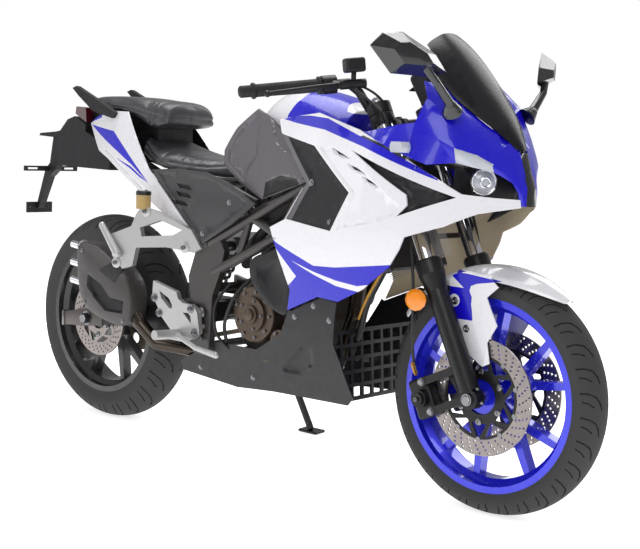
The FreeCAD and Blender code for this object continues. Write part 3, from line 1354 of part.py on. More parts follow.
# Footrests
peg = hull_bar([Vector(262, -219, 528), Vector(206, -228, 604)], [12, 9])
reservoir = Part.makeCylinder(20, 46, Vector(338, -192, 656), UP).cut(hanger)
node(feature("pillion_hangers", pair(hanger.fuse(peg))), "pillion_hangers")
node(feature("brake_reservoir", reservoir), "brake_reservoir")
BRACKET = [(353, 458), (448, 436), (456, 418), (474, 409), (493, 407), (506, 409), (521, 402), (532, 389),
           (540, 350), (542, 334), (517, 314), (472, 303), (442, 303), (404, 303), (396, 313), (434, 326),
           (390, 362), (372, 370), (376, 384), (362, 402), (350, 414)]
BRACKET_HOLES = [[(379, 433), (418, 416), (432, 399), (431, 388), (421, 389), (388, 412)],
                 [(476, 383), (496, 384), (506, 377), (510, 356)]]
bracket = plate_from(BRACKET, -164, 14).cut(Part.makeCompound([through(hole) for hole in BRACKET_HOLES]))
foot_peg = Part.makeCylinder(13, 88, Vector(458, -160, 322), Vector(0, -1, 0.05))
pedal = hull_bar([Vector(472, -178, 322), Vector(560, -192, 300), Vector(640, -194, 292)], [8, 7, 9])
plate_face = -float(size("plate_inner") + size("plate_thickness"))
bosses = [Part.makeCylinder(8, plate_face + 151, Vector(x, -151, z), LEFT) for x, z in ((532, 350), (478, 328))]
node(feature("footrest_brackets", pair(bracket.multiFuse([foot_peg, pedal] + bosses))), "footrest_brackets")

# Rear brake caliper on its bracket above the arm
def rear_caliper_shape():
    """A small caliper over the rear disc's top edge, on a bracket from the axle spacer."""
    offset = float(size("rear_disc_offset"))
    body = Part.makeBox(84, 40, 46, Vector(20, -offset - 24, 90))
    body = body.makeFillet(7, body.Edges)
    slot = Part.makeCylinder(float(size("rear_disc_radius")) + 5, 8, Vector(0, -offset - 4, 0), LEFT)
    bracket = Part.makeBox(26, arm_inner - offset - 6.3, 100, Vector(40, 0.3 - arm_inner, 0))
    shape = body.fuse(bracket).cut(slot)
    shape.translate(REAR_AXLE)
    return shape.cut(swingarm)


node(feature("rear_caliper", rear_caliper_shape()), "rear_caliper")


# Shock absorber: damper and coil spring between the cross tube and the swingarm
def shock_shape():
    """The damper with its spring seats and a coil, eye to eye."""
    upper = Vector(505, 0, 560)
    lower = Vector(398, 0, 414)
    way = (lower - upper).normalize()
    span = (lower - upper).Length
    eye = Part.makeCylinder(24, 34, upper - LEFT * 17, LEFT)
    foot = Part.makeCylinder(13.5, 26, lower - LEFT * 13, LEFT)
    body = Part.makeCylinder(19, 90, upper + way * 14, way)
    shaft = Part.makeCylinder(7, span - 18, upper + way * 14, way)
    seats = [Part.makeCylinder(34, 6, upper + way * 30, way), Part.makeCylinder(34, 6, upper + way * (span - 26), way)]
    coil_length = span - 62
    coil = Part.makeHelix(coil_length / 5, coil_length, 28)
    section = Part.Wire(Part.makeCircle(5, Vector(28, 0, 0), Vector(0, 1, 0.15)))
    spring = Part.Wire(coil.Edges).makePipeShell([section], True, True)
    spring.Placement = Placement(upper + way * 36, Rotation(UP, way))
    solid = eye.multiFuse([foot, body, shaft] + seats)
    hole = Part.makeCylinder(14 + float(size("bearing_fit")), 60, upper - LEFT * 30, LEFT)
    pin_hole = Part.makeCylinder(6 + float(size("bearing_fit")), 60, lower - LEFT * 30, LEFT)
    return solid.cut(hole).cut(pin_hole), spring, lower


shock, shock_spring, shock_foot = shock_shape()
node(feature("shock_absorber", Part.makeCompound([shock, shock_spring])), "shock_absorber")


# Guard: the lattice across the front of the belly pan
def guard_shape():
    """A lattice panel ahead of the header, with rows of open windows."""
    low = 226
    tall = 176
    half = 200
    panel = Part.makeBox(7, 2 * half, tall, Vector(0, -half, 0))
    columns = 10
    rows = 5
    pitch_y = (2 * half - 10) / columns
    pitch_z = (tall - 10) / rows
    windows = [Part.makeBox(20, pitch_y - 9, pitch_z - 9,
                            Vector(-5, -half + 9.5 + column * pitch_y, 9.5 + line * pitch_z))
               for column in range(columns) for line in range(rows)]
    panel = panel.cut(Part.makeCompound(windows))
    panel.Placement = Placement(Vector(1038, 0, low), Rotation(LEFT, -4))
    inside = slab(belly_skin, [(980, 215), (1070, 215), (1070, 440), (980, 440)], 300)
    return panel.common(inside.fuse(mirror_shape(inside))).cut(belly_side).cut(mirror_shape(belly_side))


node(feature("front_guard", guard_shape()), "front_guard")


# Stays: the tubes and posts that hold the bodywork to the frame
def post(start, end, radius, *neighbours):
    """A round post between two pieces, trimmed to both."""
    run = end - start
    bar = Part.makeCylinder(radius, run.Length, start, run)
    for neighbour in neighbours:
        bar = bar.cut(neighbour)
    return max(bar.Solids, key=lambda solid: solid.Volume)


def side_posts():
    """The right-hand posts, one to each side panel."""
    posts = []
    for x, z, end_x, end_z in ((985, 690, 985, 690), (1040, 720, 1110, 775), (950, 708, 1010, 560)):
        start = Vector(x, -112 + (x - 985) * 0.7, z)
        end = Vector(end_x, fairing_skin(end_x, end_z) + (5 if x == 985 else 2), end_z)
        posts.append(post(start, end, 7, frame_shape, fairing, vent_panel, radiator))
    start = from_fork(RADIATOR_MIDDLE, -float(size("radiator_half_width")) + 6, 430)
    posts.append(post(start, Vector(start.x, fairing_skin(start.x, start.z) + 2, start.z), 7, radiator, fairing))
    start = Vector(864, -float(size("engine_half_width")) + 4, 318)
    posts.append(post(start, Vector(864, belly_skin(864, 318) + 2, 318), 7, ENGINE, belly_side))
    posts.append(post(Vector(760, -100, 305), Vector(760, belly_skin(760, 290) + 2, 290), 7, ENGINE, belly_side))
    posts.append(post(Vector(690, -130, 656), Vector(690, cover_skin(690, 690) + 2, 690), 6, frame_shape, side_cover))
    posts.append(post(Vector(420, -100, 740), Vector(420, cover_skin(420, 740) + 2, 740), 6, subframe, side_cover))
    posts.append(post(Vector(760, -90, 860), Vector(760, knee_skin(760, 860) + 2, 860), 6, tank, knee_panel))
    posts.append(post(Vector(880, -100, 850), Vector(866, knee_skin(866, 800) + 2, 800), 6, tank, knee_panel))
    posts.append(post(Vector(240, -80, 752), Vector(240, tail_skin(240, 790) + 2, 790), 6, subframe, tail_panel))
    posts.append(post(Vector(20, -40, 835), Vector(20, tail_skin(20, 860) + 2, 860), 6, subframe, tail_panel))
    return posts


def nose_frame():
    """The tubular nose bracket from the head tube to the lamps, instruments and cowl."""
    bars = []
    start = from_fork(-STEM_BACK, 0, 600)
    for side in (-1, 1):
        bars.append(bent_tube([start + LEFT * side * 16, Vector(1210, side * 18, 816),
                               Vector(1338, side * 40, 790)], 8))
        bars.append(bent_tube([Vector(1210, side * 18, 816), Vector(1214, side * 40, 900),
                               Vector(1226, side * 40, 950)], 6))
        bars.append(bent_tube([Vector(1345, side * 80, 790), Vector(1330, side * 120, 830),
                               Vector(1330, side * 172, 870)], 6))
    joined = bars[0].multiFuse(bars[1:] + [Part.makeCylinder(6, 90, Vector(1338, -45, 790), LEFT)])
    joined = joined.cut(frame_shape).cut(lamp_body).cut(clusters).cut(cowl)
    return [solid for solid in joined.Solids if solid.Volume > 2000]


posts = side_posts()
stays = posts + [mirror_shape(item) for item in posts] + nose_frame()
node(feature("fairing_stays", Part.makeCompound(stays)), "fairing_stays")


# Tail core: the seat pan and under-seat tray between the seat rails
def tail_core_shape():
    """The tray that carries the pillion seat and the tail lamp, trimmed round the rails."""
    sections = []
    for x, half, low, high in ((-98, 24, 868, 925), (60, 46, 812, 925), (250, 66, 774, 898)):
        corners = [Vector(x, -half, low), Vector(x, half, low), Vector(x, half, high), Vector(x, -half, high)]
        sections.append(Part.makePolygon(corners + corners[:1]))
    core = Part.makeLoft(sections, True, True)
    return core.cut(subframe).cut(pillion_seat).cut(lamp).cut(rider_seat)


tail_core = tail_core_shape()
tail_core = max(tail_core.Solids, key=lambda solid: solid.Volume)
node(feature("seat_pan", tail_core), "seat_pan")

# Side stand, on a pin that stands out from the left pivot plate
lean_angle = math.radians(float(size("lean")))
reach = float(size("stand_reach"))
FOOT = Vector(600, reach, reach * math.tan(lean_angle))
leg = hull_bar([STAND_PIVOT, FOOT + Vector(-4, -8, 15)], [float(size("stand_radius"))] * 2)
foot_plate = Part.makeBox(70, 42, 8, Vector(-40, -21, 0))
foot_plate = foot_plate.makeFillet(3, foot_plate.Edges)
foot_plate.Placement = Placement(FOOT, Rotation(FORWARD, float(size("lean"))))
eye = Part.makeCylinder(15, 2 * EYE_HALF, STAND_PIVOT - STAND_AXIS * EYE_HALF, STAND_AXIS)
stand_bore = Part.makeCylinder(6 + float(size("bearing_fit")), 60, STAND_PIVOT - STAND_AXIS * 30, STAND_AXIS)
node(feature("side_stand", leg.multiFuse([foot_plate, eye]).cut(stand_bore)), "side_stand")

# Stance: leaned on to the stand, then moved so that its box stands on the floor about the origin
doc.recompute()
STANCE = Placement(Vector(), Rotation(FORWARD, -float(size("lean"))))
boxes = []
for thing in nodes:
    thing.Placement = STANCE.multiply(thing.Placement)
    boxes.append(thing.Shape.optimalBoundingBox(False, False))
low_corner = Vector(min(box.XMin for box in boxes), min(box.YMin for box in boxes),
                    min(box.ZMin for box in boxes))
high_corner = Vector(max(box.XMax for box in boxes), max(box.YMax for box in boxes),
                     max(box.ZMax for box in boxes))
SHIFT = Vector(-(low_corner.x + high_corner.x) / 2, -(low_corner.y + high_corner.y) / 2, -low_corner.z)
for thing in nodes:
    thing.Placement = Placement(SHIFT, Rotation()).multiply(thing.Placement)
print(f"shift {SHIFT.x:.4f} {SHIFT.y:.4f} {SHIFT.z:.4f}")

problems = [item.Name for item in doc.Objects if {"Invalid", "Error"} & set(item.State)]
problems += [thing.Label for thing in nodes if thing.Shape.isNull() or not thing.Shape.isValid()]
if problems:
    raise RuntimeError(f"not sound: {problems}")
for thing in nodes:
    thing.Shape.exportStep(f"parts/{thing.Label}.step")
print(len(nodes), "nodes written")
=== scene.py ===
"""Looks of a faired sport bike that leans on its side stand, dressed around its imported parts."""

import json
import logging
import math
from collections.abc import Iterable, Sequence
from dataclasses import dataclass, field
from enum import Enum

import bmesh
import bpy
from bmesh.types import BMesh, BMFace, BMVert
from bpy.types import Curve, Material, Mesh, Node, NodeTree, Object
from mathutils import Matrix, Vector
from mathutils.bvhtree import BVHTree


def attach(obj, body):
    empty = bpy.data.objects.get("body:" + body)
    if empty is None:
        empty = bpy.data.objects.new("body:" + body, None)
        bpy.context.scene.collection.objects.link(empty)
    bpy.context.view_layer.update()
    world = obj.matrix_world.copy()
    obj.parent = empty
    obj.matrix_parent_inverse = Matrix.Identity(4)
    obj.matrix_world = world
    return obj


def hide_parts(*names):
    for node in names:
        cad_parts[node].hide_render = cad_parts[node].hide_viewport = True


LOG = logging.getLogger("sport_bike")
MM = 0.001
# Driving sizes of the upright bike, in millimetres, with X ahead of the rear axle and Z above the floor
FRONT_AXLE = (1380, 0, 284)
REAR_AXLE = (0, 0, 308)
RAKE = math.radians(25)
# How finely a hose is divided round itself and between two control points, as Blender counts it
HOSE_ROUNDNESS = 3
HOSE_STEPS = 6
Outline = Sequence[tuple[float, float]]
Place = Sequence[float]

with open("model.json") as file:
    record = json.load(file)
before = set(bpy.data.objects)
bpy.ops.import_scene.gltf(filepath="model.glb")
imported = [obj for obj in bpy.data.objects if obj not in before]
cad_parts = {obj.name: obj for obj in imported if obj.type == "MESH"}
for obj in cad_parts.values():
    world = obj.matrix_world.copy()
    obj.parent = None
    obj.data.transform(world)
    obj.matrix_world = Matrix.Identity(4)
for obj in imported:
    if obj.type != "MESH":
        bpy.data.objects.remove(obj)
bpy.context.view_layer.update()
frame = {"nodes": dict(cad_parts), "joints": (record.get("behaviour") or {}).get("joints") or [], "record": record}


class Side(Enum):
    """The rider's right and left, as the sign of their Y."""

    RIGHT = -1
    LEFT = 1

    @property
    def out(self) -> Vector:
        """The way out from the bike on this side."""
        return Vector((0, self.value, 0))


@dataclass(frozen=True)
class Stance:
    """Where the upright bike stands in the row frame, read back from the wheel joints.

    Attributes:
        upright: The turn and shift from the upright bike, in metres, to the row frame.
    """

    upright: Matrix

    @classmethod
    def read(cls) -> "Stance":
        """Works the lean and the shift out of the rear wheel's joint.

        Returns:
            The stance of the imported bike.
        """
        joint = next(j for j in frame["joints"] if j["name"] == "rear_wheel_spin")
        axis = Vector(joint["axis"])
        turn = Matrix.Rotation(math.atan2(axis.z, axis.y), 4, "X")
        shift = Vector(joint["pos_m"]) - turn @ Vector((0, 0, REAR_AXLE[2] * MM))
        return cls(Matrix.Translation(shift) @ turn)


STANCE = Stance.read()


def linear(code: str) -> tuple[float, float, float, float]:
    """Turns an sRGB hex value to the linear colour that a shader takes.

    Args:
        code: Six hex digits, with or without a leading hash.

    Returns:
        Red, green, blue and an alpha of one.
    """
    code = code.lstrip("#")
    parts = [int(code[index:index + 2], 16) / 255 for index in (0, 2, 4)]
    red, green, blue = [part / 12.92 if part <= 0.04045 else ((part + 0.055) / 1.055) ** 2.4
                        for part in parts]
    return red, green, blue, 1.0


def add(tree: NodeTree, kind: str, links: dict | None = None, **settings: object) -> Node:
    """Adds one node, with its settings and what feeds it.

    Args:
        tree: The node tree to add to.
        kind: The node's type name, without the ShaderNode at its front.
        links: Input names or numbers with the sockets that feed them, or the values they hold.
        **settings: The node's own properties.

    Returns:
        The new node.
    """
    item = tree.nodes.new("ShaderNode" + kind)
    for name, value in settings.items():
        setattr(item, name, value)
    for name, source in (links or {}).items():
        if isinstance(source, bpy.types.NodeSocket):
            tree.links.new(source, item.inputs[name])
        else:
            item.inputs[name].default_value = source
    return item


@dataclass(frozen=True)
class Finish:
    """A surface: its colour, gloss and the fine relief that its making leaves.

    A grain too fine to show at the photograph's scale is drawn coarser, at about a millimetre.

    Attributes:
        name: The material's name.
        colour: The main colour, as sRGB hex.
        second: A colour that blotches drift towards.
        drift: How far the blotches go, from 0 to 1.
        blotch: The blotches' size in millimetres.
        rough: Mean roughness.
        spread: How far the roughness wanders.
        metallic: 1 for bare metal.
        ior: Index of refraction, for what is not metal.
        coat: Weight of a clear lacquer.
        grain: Size in millimetres of the relief's grain.
        relief: Height of that relief in millimetres.
        cells: Whether the grain is cellular, as on leather, and not a smooth noise.
        stretch: How much longer the grain is along the bike, as brushing leaves it.
        transmission: Weight of what light passes through.
        alpha: Cover of a thin tinted sheet.
        flake: Strength of metal flakes under a lacquer.
        glow: Strength of white light that it gives off.
        smear: Size of the patches of gloss, as a share of the blotches' size.
        coat_rough: Roughness of the clear lacquer.
        flake_size: Size in millimetres of the metal flakes.
    """

    name: str
    colour: str
    second: str
    drift: float = 0.25
    blotch: float = 60
    rough: float = 0.4
    spread: float = 0.08
    metallic: float = 0
    ior: float = 1.5
    coat: float = 0
    grain: float = 1.2
    relief: float = 0.05
    cells: bool = False
    stretch: float = 1
    transmission: float = 0
    alpha: float = 1
    flake: float = 0
    glow: float = 0
    smear: float = 0.35
    coat_rough: float = 0.04
    flake_size: float = 0.5

    def build(self) -> Material:
        """Makes the material, once.

        Returns:
            The material, with its node tree filled in.
        """
        found = bpy.data.materials.get(self.name)
        if found:
            return found
        material = bpy.data.materials.new(self.name)
        material.use_nodes = True
        tree = material.node_tree
        tree.nodes.clear()
        place = add(tree, "TexCoord").outputs["Object"]
        if self.stretch != 1:
            place = add(tree, "Mapping", {"Vector": place, "Scale": (1 / self.stretch, 1, 1)}).outputs[0]
        blotches = add(tree, "TexNoise", {"Vector": place, "Scale": 1 / (self.blotch * MM), "Detail": 4.0})
        share = add(tree, "Math", {0: blotches.outputs[0], 1: self.drift}, operation="MULTIPLY")
        colour = add(tree, "Mix", {0: share.outputs[0], 6: linear(self.colour), 7: linear(self.second)},
                     data_type="RGBA")
        smear = add(tree, "TexNoise", {"Vector": place, "Scale": 1 / (self.blotch * self.smear * MM),
                                       "Detail": 5.0})
        rough = add(tree, "MapRange", {"Value": smear.outputs[0], "From Min": 0.3, "From Max": 0.7,
                                       "To Min": self.rough - self.spread,
                                       "To Max": self.rough + self.spread})
        scale = {"Vector": place, "Scale": 1 / (self.grain * MM)}
        if self.cells:
            grain = add(tree, "TexVoronoi", scale)
        else:
            grain = add(tree, "TexNoise", scale | {"Detail": 3.0})
        bump = add(tree, "Bump", {"Height": grain.outputs[0], "Distance": self.relief * MM, "Strength": 1.0})
        shader = add(tree, "BsdfPrincipled", {
            "Base Color": colour.outputs[2], "Roughness": rough.outputs[0], "Normal": bump.outputs[0],
            "Metallic": self.metallic, "IOR": self.ior, "Coat Weight": self.coat,
            "Coat Roughness": self.coat_rough, "Transmission Weight": self.transmission, "Alpha": self.alpha,
            "Emission Color": (1, 1, 1, 1), "Emission Strength": self.glow})
        if self.flake:
            flakes = add(tree, "TexVoronoi", {"Vector": place, "Scale": 1 / (self.flake_size * MM)})
            sparkle = add(tree, "MapRange", {"Value": flakes.outputs[0], "From Min": 0.0, "From Max": 0.35,
                                             "To Min": self.metallic, "To Max": self.metallic - self.flake})
            tree.links.new(sparkle.outputs[0], shader.inputs["Metallic"])
        add(tree, "OutputMaterial", {"Surface": shader.outputs[0]})
        return material


# Gloss lacquer over moulded ABS: soft broad reflections with a faint orange peel
WHITE_LACQUER = Finish("white_lacquer", "#E3E2E7", "#D8D9DF", drift=0.1, rough=0.3, coat=1.0, grain=3,
                       relief=0.006)
BLUE_LACQUER = Finish("blue_lacquer", "#1409C2", "#1007A4", rough=0.3, ior=1.4, coat=0.5, grain=3,
                      relief=0.012)
BLACK_LACQUER = Finish("black_lacquer", "#101114", "#17181C", rough=0.22, coat=0.8, grain=3, relief=0.012)
# Metallic base coat on the cast rim: the flakes catch the lamps
BLUE_RIM = Finish("blue_flake_rim", "#1E22D8", "#2A35F0", rough=0.3, coat=1.0, metallic=0.75, flake=0.4,
                  grain=2, relief=0.02)
# Enamel over a casting: dark, half gloss and nearly smooth
BLACK_RIM = Finish("black_rim_enamel", "#141416", "#1E1E21", rough=0.38, coat=0.5, grain=2, relief=0.02)
FRAME_ENAMEL = Finish("dark_frame_enamel", "#2B2827", "#38332F", rough=0.36, coat=0.3, grain=1.5, relief=0.05)
ARM_PAINT = Finish("swingarm_paint", "#4D4845", "#5A5450", rough=0.38, metallic=0.3, coat=0.2, grain=1.3,
                   relief=0.06)
# Powder baked onto steel: an even black with a fine orange peel
POWDER_COAT = Finish("black_powder_coat", "#151517", "#1E1E21", rough=0.36, ior=1.42, grain=1.1, relief=0.07)
# Moulded ABS left bare: fine spark-eroded grain and a soft sheen
GRAIN_ABS = Finish("grained_black_abs", "#17171A", "#232327", rough=0.5, ior=1.38, grain=0.9, relief=0.09)
DARK_ABS = Finish("smooth_dark_abs", "#1A1A1D", "#242428", rough=0.4, ior=1.4, grain=1.4, relief=0.05)
GREY_ABS = Finish("grey_abs", "#59565B", "#67636A", rough=0.34, coat=0.3, grain=1.0, relief=0.05)
COVER_ABS = Finish("satin_cover_abs", "#302E31", "#3B393D", rough=0.38, coat=0.1, grain=1.2, relief=0.06)
MUFFLER_ABS = Finish("muffler_shell", "#3A3636", "#474141", rough=0.38, coat=0.15, grain=1.1, relief=0.07)
# The bare back of the white mouldings: a tan lifted pale as painted light, standing in for the light that comes
# through the thin moulding into its shaded side
MOULDING_BACK_PAINTED_LIGHT = Finish("moulding_back_painted_light", "#F0E0C0", "#E2CDA4", drift=0.6, rough=0.6, grain=2, relief=0.05)
# Cast alloy, raw, tinted or painted: the skin of the sand shows as a coarse bump
CAST_ALLOY = Finish("sand_cast_alloy", "#4C4743", "#38342F", drift=0.6, rough=0.5, metallic=0.85,
                    grain=1.3, relief=0.16)
BRONZE_CAST = Finish("bronze_tinted_casting", "#5D5046", "#473D36", drift=0.6, rough=0.4, metallic=0.7,
                     grain=1.2, relief=0.1)
SILVER_CAST = Finish("silver_painted_casting", "#B9B8B8", "#A9A8A8", rough=0.38, metallic=0.7, coat=0.2,
                     grain=1.2, relief=0.08)
# Rolled alloy fins, coated in black and rubbed bare along their edges
FIN_ALLOY = Finish("black_coated_fins", "#4C4B4D", "#3C3B3D", rough=0.45, metallic=0.8, grain=1, relief=0.05)
BRIGHT_FINS = Finish("bare_fin_edges", "#B4B0B0", "#8D8888", rough=0.4, metallic=0.8, grain=0.8, relief=0.05)
# Hard chrome on ground tube: sharp reflections
CHROME = Finish("hard_chrome", "#D9DADF", "#CFD0D6", rough=0.08, spread=0.03, metallic=1, grain=4,
                relief=0.004)
# Bare, oiled, plated and heated steel: each with patches of wear of its own size
GROUND_STEEL = Finish("ground_disc_steel", "#968F8C", "#7F7976", rough=0.3, metallic=1, blotch=25, grain=0.6,
                      relief=0.03)
CHAIN_STEEL = Finish("oiled_chain_steel", "#5D574D", "#453F37", drift=0.7, rough=0.35, metallic=1, blotch=12,
                     grain=0.8, relief=0.08)
ZINC_STEEL = Finish("zinc_plated_steel", "#8E8E92", "#7B7A7C", rough=0.3, metallic=1, blotch=15, grain=0.8,
                    relief=0.05)
HEADER_STEEL = Finish("heat_tinted_steel", "#45403C", "#544A40", drift=0.5, rough=0.3, metallic=1, blotch=90,
                      grain=1.2, relief=0.04)
# Moulded rubber: dull, with dust worked into it
TYRE_RUBBER = Finish("tyre_rubber", "#1D1D1F", "#272729", rough=0.62, ior=1.42, blotch=30, grain=0.7,
                     relief=0.1)
GRIP_RUBBER = Finish("grip_rubber", "#19191A", "#222223", rough=0.75, grain=0.8, relief=0.1)
HOSE_RUBBER = Finish("hose_rubber", "#141415", "#1E1E1F", rough=0.42, grain=0.8, relief=0.05)
# Foil sleeve round a lead: a crinkled gold
GOLD_SLEEVE = Finish("gold_sleeve", "#B98A3A", "#8F6A2C", rough=0.35, metallic=0.6, grain=0.8, relief=0.05)
# Vinyl with an embossed leather grain, and the polyester thread that sews it
SEAT_VINYL = Finish("grained_seat_vinyl", "#353337", "#434145", rough=0.36, coat=0.15, grain=1.6, relief=0.22,
                    cells=True)
THREAD = Finish("seat_thread", "#6E6B70", "#7A777C", rough=0.7, grain=0.5, relief=0.1)
# Acrylic, polycarbonate and glass: smooth, clear or tinted, some with moulded optics
SMOKE_SHEET = Finish("smoke_acrylic", "#17161A", "#1C1B1F", rough=0.28, spread=0.02, ior=1.35, alpha=0.93,
                     grain=6, relief=0.004)
LAMP_GLASS = Finish("lamp_glass", "#C9CED8", "#E6EAF2", rough=0.08, spread=0.03, coat=1.0, transmission=0.35,
                    grain=4, relief=0.05, cells=True)
MIRROR_GLASS = Finish("silvered_glass", "#E8EAEE", "#E2E4E8", rough=0.03, spread=0.01, metallic=1, grain=8,
                      relief=0.002)
DIAL_FACE = Finish("dial_face", "#0E1013", "#131519", rough=0.2, coat=0.8, grain=3, relief=0.01)
RED_LENS = Finish("dark_red_acrylic", "#3A0610", "#4C0A16", rough=0.1, spread=0.03, coat=0.8, grain=4,
                  relief=0.01)
AMBER_LENS = Finish("amber_reflector", "#F08A12", "#FF9A1C", rough=0.15, spread=0.04, coat=0.8, grain=2,
                    relief=0.12, cells=True)
# Blown polythene, yellowed by brake fluid and age
RESERVOIR = Finish("yellowed_polythene", "#B0935E", "#9A7F50", rough=0.35, grain=2, relief=0.05)
# Matt white paint with a glow that keeps the floor white around the shadow
FLOOR_PAINT = Finish("pale_floor", "#F4F4F4", "#F4F4F4", rough=0.9, spread=0, ior=1.05, grain=5, relief=0.001,
                     glow=0.7)

# What each CAD node is made of; the side fairings and the tail panels come as painted pieces only
NODE_FINISH: dict[str, Finish] = {
    "front_rim": BLUE_RIM,
    "front_tyre": TYRE_RUBBER,
    "front_discs": GROUND_STEEL,
    "rear_rim": BLACK_RIM,
    "rear_tyre": TYRE_RUBBER,
    "rear_disc": GROUND_STEEL,
    "rear_sprocket": CHAIN_STEEL,
    "fork_stanchions": CHROME,
    "fork_lower_legs": POWDER_COAT,
    "front_axle": ZINC_STEEL,
    "steering_yokes": POWDER_COAT,
    "clip_on_bars": POWDER_COAT,
    "handlebar_grips": GRIP_RUBBER,
    "bar_controls": POWDER_COAT,
    "front_calipers": POWDER_COAT,
    "front_fender": WHITE_LACQUER,
    "main_frame": FRAME_ENAMEL,
    "rear_subframe": FRAME_ENAMEL,
    "swingarm": POWDER_COAT,
    "drive_chain": CHAIN_STEEL,
    "front_sprocket": CHAIN_STEEL,
    "engine": CAST_ALLOY,
    "engine_covers": BRONZE_CAST,
    "exhaust_header": HEADER_STEEL,
    "muffler": MUFFLER_ABS,
    "muffler_tips": CHROME,
    "radiator": FIN_ALLOY,
    "fairing_inserts": GRAIN_ABS,
    "belly_pan_left": DARK_ABS,
    "belly_pan_right": DARK_ABS,
    "side_covers": DARK_ABS,
    "knee_panels": GREY_ABS,
    "fuel_tank": BLUE_LACQUER,
    "rider_seat": SEAT_VINYL,
    "pillion_seat": SEAT_VINYL,
    "windscreen": SMOKE_SHEET,
    "nose_cowl": BLUE_LACQUER,
    "headlamps": GRAIN_ABS,
    "instrument_cluster": GRAIN_ABS,
    "mirrors": BLACK_LACQUER,
    "front_lamps": LAMP_GLASS,
    "grab_rails": GRAIN_ABS,
    "tail_lamp": RED_LENS,
    "rear_undertray": GRAIN_ABS,
    "pillion_hangers": SILVER_CAST,
    "brake_reservoir": RESERVOIR,
    "footrest_brackets": SILVER_CAST,
    "rear_caliper": POWDER_COAT,
    "shock_absorber": ZINC_STEEL,
    "front_guard": DARK_ABS,
    "fairing_stays": POWDER_COAT,
    "seat_pan": GRAIN_ABS,
    "side_stand": POWDER_COAT,
}


def body_of_node(node: str) -> str:
    """The CAD body that a node rides on."""
    bodies = frame["record"]["behaviour"]["bodies"]
    return next(body for body, members in bodies.items() if node in members)


def sides_of(corners: Outline) -> Iterable[tuple[tuple[float, float], tuple[float, float]]]:
    """Both ends of each side of a closed outline, in order."""
    return zip(corners, [*corners[1:], corners[0]])


def inside(x: float, z: float, corners: Outline) -> bool:
    """Whether a place in side view lies in an outline.

    Args:
        x: Upright millimetres ahead of the rear axle.
        z: Upright millimetres above the floor.
        corners: The outline's corners in the same units.

    Returns:
        True inside.
    """
    found = False
    for (x1, z1), (x2, z2) in sides_of(corners):
        if (z1 > z) != (z2 > z) and x < x1 + (z - z1) / (z2 - z1) * (x2 - x1):
            found = not found
    return found


def finish_piece(bm: BMesh, name: str, body: str, finishes: Sequence[Finish],
                 smooth: float = 35) -> Object:
    """Turns an upright bmesh into a finished piece that rides on a body.

    Args:
        bm: The mesh, in upright millimetres. It is freed here.
        name: The piece's name.
        body: The CAD body that carries it.
        finishes: Its finishes, one per material index.
        smooth: Edges that turn by less than this many degrees are shaded smooth.

    Returns:
        The new object.
    """
    bmesh.ops.transform(bm, matrix=STANCE.upright @ Matrix.Scale(MM, 4), verts=bm.verts)
    mesh = bpy.data.meshes.new(name)
    bm.to_mesh(mesh)
    bm.free()
    for one in finishes:
        mesh.materials.append(one.build())
    mesh.shade_smooth()
    mesh.set_sharp_from_angle(angle=math.radians(smooth))
    piece = bpy.data.objects.new(name, mesh)
    bpy.context.scene.collection.objects.link(piece)
    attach(piece, body)
    LOG.info("%s: %d faces", name, len(mesh.polygons))
    return piece


def copy_node(node: str) -> BMesh:
    """Copies a CAD node's mesh and merges its loose triangles.

    Args:
        node: The node's name.

    Returns:
        The copy, in upright millimetres.
    """
    bm = bmesh.new()
    bm.from_mesh(frame["nodes"][node].data)
    bmesh.ops.transform(bm, matrix=(STANCE.upright @ Matrix.Scale(MM, 4)).inverted(), verts=bm.verts)
    bmesh.ops.remove_doubles(bm, verts=bm.verts, dist=0.01)
    return bm


def join(bm: BMesh, part: BMesh, index: int = 0) -> None:
    """Adds one mesh to another and frees it.

    Args:
        bm: The mesh that grows.
        part: What is added.
        index: The material index of its faces.
    """
    for face in part.faces:
        face.material_index = index
    mesh = bpy.data.meshes.new("joined")
    part.to_mesh(mesh)
    part.free()
    bm.from_mesh(mesh)
    bpy.data.meshes.remove(mesh)


def facing(axis: Place) -> Matrix:
    """The turn that points Z along an axis."""
    return Vector(axis).to_track_quat("Z", "Y").to_matrix()


def aim(part: BMesh, place: Place, axis: Place) -> None:
    """Sets a mesh that was made about Z at the origin onto a place and an axis.

    Args:
        part: The mesh.
        place: Where its origin goes.
        axis: Where its Z points.
    """
    moved = Matrix.Translation(Vector(place)) @ facing(axis).to_4x4()
    bmesh.ops.transform(part, matrix=moved, verts=part.verts)


def lathe(bm: BMesh, place: Place, axis: Place, profile: Outline, steps: int = 32, index: int = 0) -> None:
    """Turns a profile round an axis, as on a lathe.

    Args:
        bm: The mesh that grows.
        place: The profile's foot on the axis.
        axis: The axis.
        profile: Radius and height pairs from the foot up.
        steps: How many sides the turning has.
        index: The material index.
    """
    part = bmesh.new()
    knots = [part.verts.new((radius, 0, height)) for radius, height in profile]
    edges = [part.edges.new(pair) for pair in zip(knots, knots[1:])]
    bmesh.ops.spin(part, geom=knots + edges, cent=(0, 0, 0), axis=(0, 0, 1), angle=2 * math.pi, steps=steps,
                   use_merge=True)
    bmesh.ops.remove_doubles(part, verts=part.verts, dist=0.001)
    bmesh.ops.recalc_face_normals(part, faces=part.faces)
    aim(part, place, axis)
    join(bm, part, index)


def cut(bm: BMesh, faces: list[BMFace], place: Place, normal: Vector, merge: float) -> None:
    """Cuts some of a mesh's faces along a plane.

    Args:
        bm: The mesh.
        faces: The faces that may be cut.
        place: A place on the plane.
        normal: The plane's normal.
        merge: How near a corner is to count as on the plane.
    """
    parts = set(faces)
    for face in faces:
        parts.update(face.edges)
        parts.update(face.verts)
    bmesh.ops.bisect_plane(bm, geom=list(parts), dist=merge, plane_co=place, plane_no=normal)


